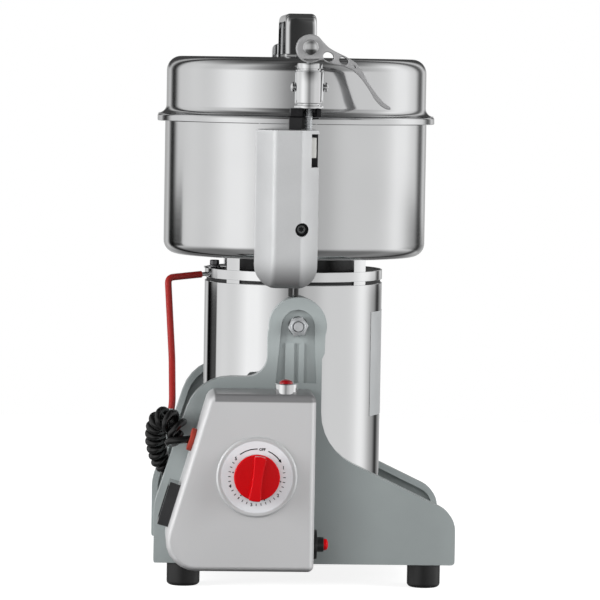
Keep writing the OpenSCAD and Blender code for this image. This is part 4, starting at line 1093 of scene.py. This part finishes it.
def grommet():
    """The red collar on the box's slanted side, which the curly cord comes out of."""
    x = SLANT_TOP_X - (SLANT_TOP_Z - GROMMET_Z) * math.tan(SLANT)
    lie = Matrix.Rotation(SLANT - math.radians(90), 4, "Y")
    place = Matrix.Translation((x, GROMMET_Y, GROMMET_Z)) @ lie
    profile = [(3.2 * MM, -5 * MM), (6.9 * MM, -5 * MM), (6.9 * MM, 0), (9.5 * MM, 0), (9.5 * MM, 4 * MM),
               (3.2 * MM, 4 * MM)]
    turned_piece("red_grommet", eased(profile, 0.9 * MM), "brick_rubber", ["cord_grommet"], place)


def breaker():
    """The overload breaker's threaded collar and its red button."""
    low, high, mid = box_of("overload_breaker")
    bore = 4.9 * MM
    shape = [(bore, -12 * MM), (7.9 * MM, -12 * MM), (7.9 * MM, 0, 0), (12.3 * MM, 0), (12.3 * MM, 3.6 * MM),
             (6.1 * MM, 3.6 * MM, 0.2 * MM), (6.1 * MM, 9.4 * MM), (bore, 9.4 * MM)]
    turned_piece("breaker_collar", eased(shape, 0.6 * MM), "black_plastic", ["overload_breaker"],
                 along_x(high.x - 9.4 * MM, mid.y, mid.z))
    low, high, mid = box_of("reset_button")
    r, long, bulge = high.z - mid.z, high.x - low.x, 2.2 * MM
    dome = arc(0, long - bulge, r, bulge, sweep(90, -1, -15))
    turned_piece("red_reset_button", [(0, 0), (r, 0)] + dome, "red_plastic", ["reset_button"],
                 along_x(low.x, mid.y, mid.z))


def lamp():
    """The pilot lamp on the box's top: a bright ring and a red dome."""
    low, high, mid = box_of("lamp_bezel")
    at = upright_at(mid.x, mid.y)
    deck, bore, neck, r = high.z - 8.5 * MM, 5.7 * MM, 6.6 * MM, high.x - mid.x
    shape = [(bore, deck - 9 * MM), (neck, deck - 9 * MM), (neck, deck, 0), (r, deck),
             (r - 0.15 * MM, high.z - 0.5 * MM), (r - 0.8 * MM, high.z), (bore, high.z)]
    turned_piece("lamp_ring", eased(shape, 0.3 * MM), "polished_steel", ["lamp_bezel"], at)
    low, high, mid = box_of("lamp_lens")
    r, bulge = high.x - mid.x, 3.3 * MM
    dome = arc(0, high.z - bulge, r, bulge, sweep(90, -1, -10))
    turned_piece("lamp_dome", [(0, low.z), (r, low.z)] + dome, "red_lens", ["lamp_lens"], at)


# ---------------------------------------------------------------- the dial

DIAL = Vector((-34.7 * MM, 0, 98 * MM))
TICK_R, NUMBER_R = 22.5 * MM, 22.9 * MM    # from the dial's middle to the middle of the marks
OFF_R, ARROW_R, DOT_R = 23.0 * MM, 23.1 * MM, 19.7 * MM
INK = 0.12 * MM                # how far print stands off the plate
FIRST, MINUTE = math.radians(70), math.radians(60.25)   # angle of the 1, and from one number to the next
FACE_SUNK = 0.2 * MM           # the face lies this far inside its bright ring


def dial_plate():
    """The timer's face, and the bright ring round it."""
    low, high, mid = box_of("dial_plate")
    r, thick = high.x - mid.x, high.y - low.y
    place = along_y(DIAL.x, high.y, DIAL.z)
    face = thick - FACE_SUNK
    inner = 29.4 * MM
    disc = [(4.6 * MM, 0), (inner + 0.2 * MM, 0), (inner + 0.2 * MM, face), (4.6 * MM, face)]
    turned_piece("dial_disc", disc, "dial_face", ["dial_plate"], place, sides=ROUND)
    ring = [(inner, 0), (r, 0), (r, thick - 1.1 * MM), (r - 1.3 * MM, thick), (inner, face)]
    turned_piece("dial_ring", eased(ring, 0.4 * MM), "dial_rim", [], place, sides=ROUND,
                 body="base", slot="polished_steel")


def dial_marks():
    """Ticks, numbers and the arc arrow of a five-minute timer, printed on the plate."""
    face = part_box("dial_plate")[0].y + FACE_SUNK
    bm = bmesh.new()
    bm.from_mesh(dial_ticks(face))
    for k in range(5):
        lettering(bm, str(k + 1), FIRST + MINUTE * k, NUMBER_R, 3.8 * MM, face)
    for k in range(4):
        dot = on_dial(FIRST + MINUTE * (k + 0.5), DOT_R, face)
        add_plate(bm, [dot + Vector((x, 0, z)) for x, z in spokes(8, [0.6 * MM])])
    lettering(bm, "OFF", math.radians(10.5), OFF_R, 3.0 * MM, face)
    arc_line(bm, math.radians(-37), math.radians(1), ARROW_R, face)
    arc_line(bm, math.radians(23), math.radians(53), ARROW_R, face)
    arrow_head(bm, math.radians(52), ARROW_R, face)
    finished("dial_print", bm, "dial_ink", [], body="base", slot="black_plastic")


def on_dial(angle, radius, face, off=INK):
    """A point on the dial's face, its angle clockwise from the top."""
    return Vector((DIAL.x + radius * math.sin(angle), face - off, DIAL.z + radius * math.cos(angle)))


def add_plate(bm, outline):
    """A thin plate of ink in the dial's plane."""
    top = [bm.verts.new(p) for p in outline]
    back = [bm.verts.new(p + Vector((0, INK, 0))) for p in outline]
    bm.faces.new(top)
    bm.faces.new(reversed(back))
    for k in range(len(top)):
        m = (k + 1) % len(top)
        bm.faces.new((top[m], top[k], back[k], back[m]))
    bmesh.ops.recalc_face_normals(bm, faces=bm.faces)


def arc_line(bm, start, stop, radius, face, width=0.8 * MM, steps=8):
    """A printed stroke round the dial."""
    angles = [start + (stop - start) * k / steps for k in range(steps + 1)]
    outer = [on_dial(a, radius + width / 2, face) for a in angles]
    inner = [on_dial(a, radius - width / 2, face) for a in reversed(angles)]
    add_plate(bm, outer + inner)


def arrow_head(bm, angle, radius, face):
    """The point of the printed arrow."""
    tip = on_dial(angle + 0.13, radius, face)
    add_plate(bm, [on_dial(angle, radius + 1.2 * MM, face), tip, on_dial(angle, radius - 1.2 * MM, face)])


def lettering(bm, words, angle, radius, height, face):
    """Plain printed characters, upright on the dial."""
    curve = bpy.data.curves.new("dial_word", "FONT")
    curve.body, curve.size = words, height
    curve.align_x, curve.align_y = "CENTER", "CENTER"
    curve.extrude, curve.offset = INK / 2, 0.1 * MM
    curve.resolution_u = 3
    holder = bpy.data.objects.new("dial_word", curve)
    mesh = bpy.data.meshes.new_from_object(holder)
    mesh.transform(along_y(*on_dial(angle, radius, face, INK / 2)))
    bm.from_mesh(mesh)
    bpy.data.meshes.remove(mesh)
    bpy.data.objects.remove(holder)
    bpy.data.curves.remove(curve)


TICK_SOCKETS = {
    "Count": "Int", "Radius": "Float", "Length": "Float", "Width": "Float", "Thickness": "Float",
    "First": "Float", "Step": "Float", "Skip": "Float", "Ink": "Material",
}


def tick_tree():
    """Geometry Nodes for a dial's scale: bars on an arc, with every one that Skip divides left out."""
    tree = bpy.data.node_groups.new("dial_ticks", "GeometryNodeTree")
    for name, kind in TICK_SOCKETS.items():
        tree.interface.new_socket(name, in_out="INPUT", socket_type="NodeSocket" + kind)
    tree.interface.new_socket("Geometry", in_out="OUTPUT", socket_type="NodeSocketGeometry")
    net = Net(tree)
    given = {name: net.add("NodeGroupInput", {}, {}, name) for name in TICK_SOCKETS}
    line = net.add("GeometryNodeMeshLine", {}, {"Count": given["Count"], "Offset": (0, 0, 0)})
    index = net.add("GeometryNodeInputIndex", {}, {})
    angle = index * given["Step"] + given["First"]
    across, up = (angle.math(trig) * given["Radius"] for trig in ("SINE", "COSINE"))
    where = net.add("ShaderNodeCombineXYZ", {}, {"X": across, "Z": up})
    spread = net.add("GeometryNodeSetPosition", {}, {"Geometry": line, "Position": where})
    sides = {"X": given["Width"], "Y": given["Thickness"], "Z": given["Length"]}
    tick = net.add("GeometryNodeMeshCube", {}, {"Size": net.add("ShaderNodeCombineXYZ", {}, sides)})
    turn = net.add("ShaderNodeCombineXYZ", {}, {"Y": angle})
    kept = index.math("MODULO", given["Skip"])
    copies = net.add("GeometryNodeInstanceOnPoints", {}, {"Points": spread, "Selection": kept,
                                                          "Instance": tick, "Rotation": turn})
    real = net.add("GeometryNodeRealizeInstances", {}, {"Geometry": copies})
    inked = net.add("GeometryNodeSetMaterial", {}, {"Geometry": real, "Material": given["Ink"]})
    net.add("NodeGroupOutput", {}, {"Geometry": inked})
    return tree


def dial_ticks(face):
    """The mesh of the timer's ticks. Every sixth is left out for a number."""
    tree = tick_tree()
    holder = linked("dial_ticks", bpy.data.meshes.new("dial_ticks"))
    modifier = holder.modifiers.new("ticks", "NODES")
    modifier.node_group = tree
    values = {"Count": 25, "Radius": TICK_R, "Length": 2.0 * MM, "Width": 0.6 * MM, "Thickness": INK,
              "First": FIRST, "Step": MINUTE / 6, "Skip": 6.0, "Ink": materials["dial_ink"]}
    for item in tree.interface.items_tree:
        if item.in_out == "INPUT":
            modifier[item.identifier] = values[item.name]
    apply_modifiers(holder)
    mesh = holder.data
    mesh.transform(Matrix.Translation((DIAL.x, face - INK / 2, DIAL.z)))
    bpy.data.objects.remove(holder)
    return mesh


def knob():
    """The timer's knob: a round plate with a waisted grip bar across it."""
    low, high, mid = box_of("timer_knob")
    r, tall, plate, soft = high.x - mid.x, high.y - low.y, 4.7 * MM, 1.2 * MM
    place = along_y(DIAL.x, high.y, DIAL.z)
    edge = arc(r - soft, plate - soft, soft, soft, sweep(90, -1, -18))
    bm = bmesh.new()
    turned(bm, [(0, 0), (r, 0)] + edge + [(0, plate)], ROUND, place)
    reach = r - 0.5 * MM
    rows = [reach * k / 8 for k in range(-7, 8)]
    side = [(3.9 * MM + 1.5 * MM * (y / reach) ** 2, y) for y in rows]
    tips = arc(0, 0, reach, reach, [math.radians(d) for d in (14, 8, 3, -3, -8, -14)])
    outline = side + tips + [(-x, y) for x, y in reversed(side)] + [(x, -y) for x, y in reversed(tips)]
    lean = Matrix.Rotation(math.radians(-7), 4, "Z")
    middle = Matrix.Translation((0, 0, (plate - MM + tall) / 2))
    slab(bm, [outline], tall - plate + MM, 1.0 * MM, place @ lean @ middle)
    finished("red_timer_knob", bm, "red_plastic", ["timer_knob"])


# ---------------------------------------------------------------- hook and cast pieces

HOOK_CORNERS = points((-70.9, -27.1, 256), (-79, -30, 255.5), (-107.5, -44, 253), (-103.5, -65, 187),
                      (-103, -86, 152), (-104, -87, 145))
WIRE_R = 1.75 * MM
SLEEVE_R = 2.85 * MM
BARE_END = 9.5 * MM       # of wire, before the sleeve begins


def bent(corners, reach, steps=6):
    """The wire's line through its corners, each with a bend."""
    out = [corners[0]]
    for a, b, c in zip(corners, corners[1:], corners[2:]):
        out += rounded(b + (a - b).normalized() * reach, b, b + (c - b).normalized() * reach, steps)
    return out + [corners[-1]]


def cord_hook():
    """The wire hook that carries the curly cord, and its red sleeve."""
    step = 1.5 * MM
    line = evenly(bent(HOOK_CORNERS, 5 * MM), step)
    bm = bmesh.new()
    tube(bm, line, WIRE_R, 16)
    wire = finished("hook_wire", bm, "brushed_steel", ["cord_hook"], math.radians(50))
    bm = bmesh.new()
    tube(bm, line[round(BARE_END / step):-1], SLEEVE_R, 20)
    sleeve = finished("hook_red_sleeve", bm, "red_rubber", ["hook_sleeve"], math.radians(50))
    for piece in (wire, sleeve):
        piece.visible_glossy = False


CAST = {  # node: width of its rounded edges in millimetres
    "near_upright": 1.6, "far_upright": 1.6, "base_tray": 1.2, "lid_hinge_arm": 0.8, "hinge_bracket": 0.8,
    "inlet_frame": 0.7, "release_slide": 0.6, "stop_bumper": 0.6, "pivot_studs": 0.5, "hinge_pin": 0.5,
    "cutters": 0.4,
}
CAST_FINISH = {"pivot_studs": "bright_zinc", "inlet_frame": "inlet_black"}


def timer_box():
    """The timer box, with the bevel round its front shaded as a round-over."""
    bm = merged_node("timer_box")
    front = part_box("timer_box")[0].y

    def soft(ends):
        return near_plane(ends, 1, front) or (near_plane(ends, 1, ends[0].y) and ends[0].y < front + 8 * MM)

    softened_copy("timer_box", bm, 0.7 * MM, limit=math.radians(70), soft=soft)


def cast_handle():
    """The cast handle with soft facets, its lower end drawn back under the bowl."""
    bm = merged_node("cast_handle")
    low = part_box("cast_handle")[0]
    corners = upright_corners(bm, low.y)
    drawn, back, quarter = 30 * MM, 20 * MM, 0.97     # the lower end is drawn back on most of a quarter oval
    levels = [drawn * k / 10 for k in range(1, 11)] + [drawn + 12 * MM * k for k in range(1, 9)]
    cuts = [(Vector((0, 0, low.z + level)), Vector((0, 0, 1))) for level in levels]
    beside = (-1.6 * MM, 3 * MM)      # between these two cuts a facet's corner is shaded as a round
    cuts += [(Vector((x + side, 0, 0)), Vector((1, 0, 0))) for x in corners for side in beside]
    for place, across in cuts:
        everything = bm.verts[:] + bm.edges[:] + bm.faces[:]
        bmesh.ops.bisect_plane(bm, geom=everything, plane_co=place, plane_no=across)
    for v in bm.verts:
        below = (low.z + drawn - v.co.z) / drawn
        if below > 0 and v.co.y < low.y + 32 * MM:
            v.co.y += back * (1 - math.sqrt(1 - quarter * below * below))

    def soft(ends):
        return any(near_plane(ends, 0, x) for x in corners) and ends[0].y < low.y + 20 * MM

    softened_copy("cast_handle", bm, 1.2 * MM, "handle_silver", math.radians(70), soft)


def upright_corners(bm, front):
    """Where the front's facets meet, as X values."""
    found = set()
    for edge in bm.edges:
        a, b = (v.co for v in edge.verts)
        if abs(a.y - front) < 0.1 * MM and abs(b.y - front) < 0.1 * MM and abs(a.z - b.z) > 30 * MM:
            if math.radians(40) < edge.calc_face_angle(0) < math.radians(75):
                found.add(round(a.x, 5))
    return sorted(found)


def swing_nuts():
    """Chamfered hexagon nuts with a round collar, on the studs that the mill swings on."""
    low, high, mid = box_of("pivot_nuts")
    flats, tall, bore = 15 * MM, 7.2 * MM, 4.1 * MM
    corners = spokes(6, [flats / 2 / math.cos(math.radians(30))], lean=8)
    ring = oval(0, 0, 2 * bore, 2 * bore, 0, 32)
    near, far = along_y(0, low.y + 9 * MM, mid.z), along_y(0, high.y - 9 * MM, mid.z, -1)
    washer = [(bore, 0.2 * MM), (8.1 * MM, 0.2 * MM), (8.1 * MM, -0.6 * MM), (bore, -0.6 * MM)]
    face = [(bore, tall), (4.7 * MM, tall + 1.2 * MM), (5.6 * MM, tall + 1.6 * MM),
            (6.3 * MM, tall + 0.9 * MM), (6.6 * MM, tall - 0.4 * MM), (bore, tall - 0.4 * MM)]
    bm, dark = bmesh.new(), bmesh.new()
    for place in (near, far):
        slab(bm, [corners, ring], tall, 1.3 * MM, place @ Matrix.Translation((0, 0, tall / 2)), 2)
        turned(bm, face, SMALL_ROUND, place)
        turned(dark, washer, SMALL_ROUND, place)
    finished("swing_nuts", bm, "bright_zinc", ["pivot_nuts"])
    finished("swing_nut_washers", dark, "blackened_steel", [], body="mill", slot="dark_steel")


def handle_screw():
    """A black socket screw sunk in the cast handle."""
    low, high, mid = box_of("handle_screw")
    r = high.x - mid.x
    place = along_y(mid.x, high.y, mid.z)
    deep = high.y - low.y
    head = [(0, 0), (r, 0), (r, deep - 0.5 * MM), (r - 0.5 * MM, deep), (r - 1.2 * MM, deep),
            (3.5 * MM, deep - 0.9 * MM), (0, deep - 0.9 * MM)]
    turned_piece("handle_socket_screw", head, "blackened_steel", ["handle_screw"], place)
    bm = bmesh.new()
    turned(bm, [(0, -0.2 * MM), (3.3 * MM, -0.2 * MM), (3.2 * MM, 0.1 * MM), (0, 0.1 * MM)], 48,
           along_y(mid.x, low.y + 0.9 * MM, mid.z))
    finished("handle_screw_socket", bm, "screw_socket", [], body="mill", slot="dark_steel")
    bm = bmesh.new()
    star = spokes(12, [1.6 * MM, 2.5 * MM])
    slab(bm, [eased_loop(star, 0.3 * MM)], 0.3 * MM, 0.05 * MM, along_y(mid.x, low.y + 0.75 * MM, mid.z))
    finished("handle_screw_star", bm, "blackened_steel", [], body="mill", slot="dark_steel")


def cast_pieces():
    """The castings and pressings that keep their own shape, with softened edges."""
    for node, width in CAST.items():
        softened_copy(node, merged_node(node), width * MM, CAST_FINISH.get(node))


def plain_nodes():
    """The nodes whose own shape is right get their material."""
    for name, node in frame["nodes"].items():
        node.data.materials.clear()
        node.data.materials.append(materials[NODE_SLOT[name]])


# ---------------------------------------------------------------- light and room


def studio_world():
    """A white room with a bright side to the left and to the right, dark flags, and a dim camera side.

    Angles are in degrees, 0 towards the viewer and 90 to the right. Heights are the sine of the angle
    above the horizon. What metal mirrors is the light; what lights the rest is the ambient.
    """
    f = Finish(bpy.data.worlds.new("studio"))
    bpy.context.scene.world = f.block
    x, y, z = f.axes(f.add("ShaderNodeTexCoord", {}, {}, "Generated"))
    turn = x.math("ARCTAN2", y * -1.0) * (180 / math.pi)

    # The walls: dim by the viewer, bright on both sides, with a dark flag in each far corner.
    light = 0.7 - turn.bump_round(-4, 17) * 0.42 - turn.bump_round(24, 12) * 0.14
    for side, width, strength in ((-56, 20, 0.34), (104, 17, 0.34), (-104, 12, 0.06)):
        light = light + turn.bump_round(side, width) * strength
    light = light * (1 - flag(turn, -142, 8, 12) * 0.97) * (1 - flag(turn, 140, 7, 12) * 0.85)

    # Below the horizon, where the motor shell looks, the flags are wider.
    low = (1 - z.above(-0.058, 0.005)) * z.above(-0.27, 0.08)
    light = light * (1 - flag(turn, -134, 14, 3) * low * 0.9) * (1 - turn.above(112, 44) * low * 0.6)

    # Grey behind the mill, a dark roof that comes lower before and behind it, and a dark pit below.
    behind = turn.math("ABSOLUTE").above(157, 12)
    light = light * (1 - behind) + behind * 0.46
    ahead = turn.bump_round(0, 60)
    roof = z.above(0.72, 0.5).math("MAXIMUM", z.above(0.2, 0.22) * ahead)
    roof = roof * (1 - behind) + z.above(0.07, 0.1) * behind
    pit = 1 - z.above(-0.38, 0.4)
    light = (light * (1 - roof * 0.88) * (1 - pit * 0.75)).clamped()

    ambient = (0.7 - y * 0.34) * (1 - z.above(0.5, 0.8) * 0.84) * z.above(-0.45, 0.9)
    seen, mirrored, through = (f.ray(kind) for kind in ("Camera", "Glossy", "Transmission"))
    glossy = mirrored.math("MAXIMUM", through)
    strength = seen + (1 - seen) * (glossy * light + (1 - glossy) * ambient)
    f.close(f.add("ShaderNodeBackground", {}, {"Color": (1, 1, 1, 1), "Strength": strength}))


def flag(turn, middle, half, soft):
    """1 across a dark flag in the room, and 0 away from it."""
    return turn.above(middle - half, soft) * (1 - turn.above(middle + half, soft))


def soft_box(name, place, aim, size, power):
    """A studio lamp that metal does not mirror."""
    data = bpy.data.lights.new(name, "AREA")
    data.shape, data.size, data.size_y, data.energy = "RECTANGLE", size[0], size[1], power
    box = linked(name, data)
    box.location = place
    box.rotation_euler = (Vector(aim) - Vector(place)).to_track_quat("-Z", "Y").to_euler()
    box.visible_glossy = False


FLOOR_R = 1.4


def room():
    """The light, the white background and the floor."""
    studio_world()
    soft_box("left_box", (-1.9, -0.7, 0.6), (0, 0, 0.25), (0.9, 1.2), 54)
    soft_box("right_box", (1.9, -0.7, 0.6), (0, 0, 0.25), (0.9, 1.2), 42)
    soft_box("front_box", (-0.4, -2.2, 0.9), (0, 0, 0.2), (1.2, 1.0), 10)
    floor_room()


def floor_room():
    """A pale floor that meets the white background and keeps the shadow. Metal sees the room through it."""
    f = new_finish("floor")
    seen, mirrored = f.ray("Camera"), f.ray("Glossy")
    matt = f.add("ShaderNodeBsdfDiffuse", {}, {"Color": (0.42, 0.42, 0.42, 1)})
    dull = f.add("ShaderNodeBsdfDiffuse", {}, {"Color": (0.2, 0.2, 0.2, 1)})
    glow = f.add("ShaderNodeEmission", {}, {"Color": (1, 1, 1, 1), "Strength": 0.86})
    both = f.add("ShaderNodeAddShader", {}, {0: matt, 1: glow})
    solid = f.add("ShaderNodeMixShader", {}, {0: seen, 1: dull, 2: both})
    clear = f.add("ShaderNodeBsdfTransparent", {}, {})
    f.close(f.add("ShaderNodeMixShader", {}, {0: mirrored, 1: solid, 2: clear}))
    mesh = bpy.data.meshes.new("floor")
    mesh.from_pydata([(x, y, 0) for x, y in spokes(ROUND, [FLOOR_R])], [], [range(ROUND)])
    mesh.materials.append(f.block)
    floor = linked("floor", mesh)
    floor.location.z = -0.2 * MM      # just under the feet


# ---------------------------------------------------------------- everything

bpy.context.scene.view_settings.view_transform = "Standard"
make_camera()
materials = make_materials()
curly_cord()
plain_nodes()
bowl()
lid()
motor_shell()
vent_collar()
motor_label()
catch_pieces()
feet()
grommet()
breaker()
lamp()
dial_plate()
dial_marks()
knob()
cord_hook()
cast_pieces()
cast_handle()
timer_box()
swing_nuts()
handle_screw()
cam_lever()
strap()
room()
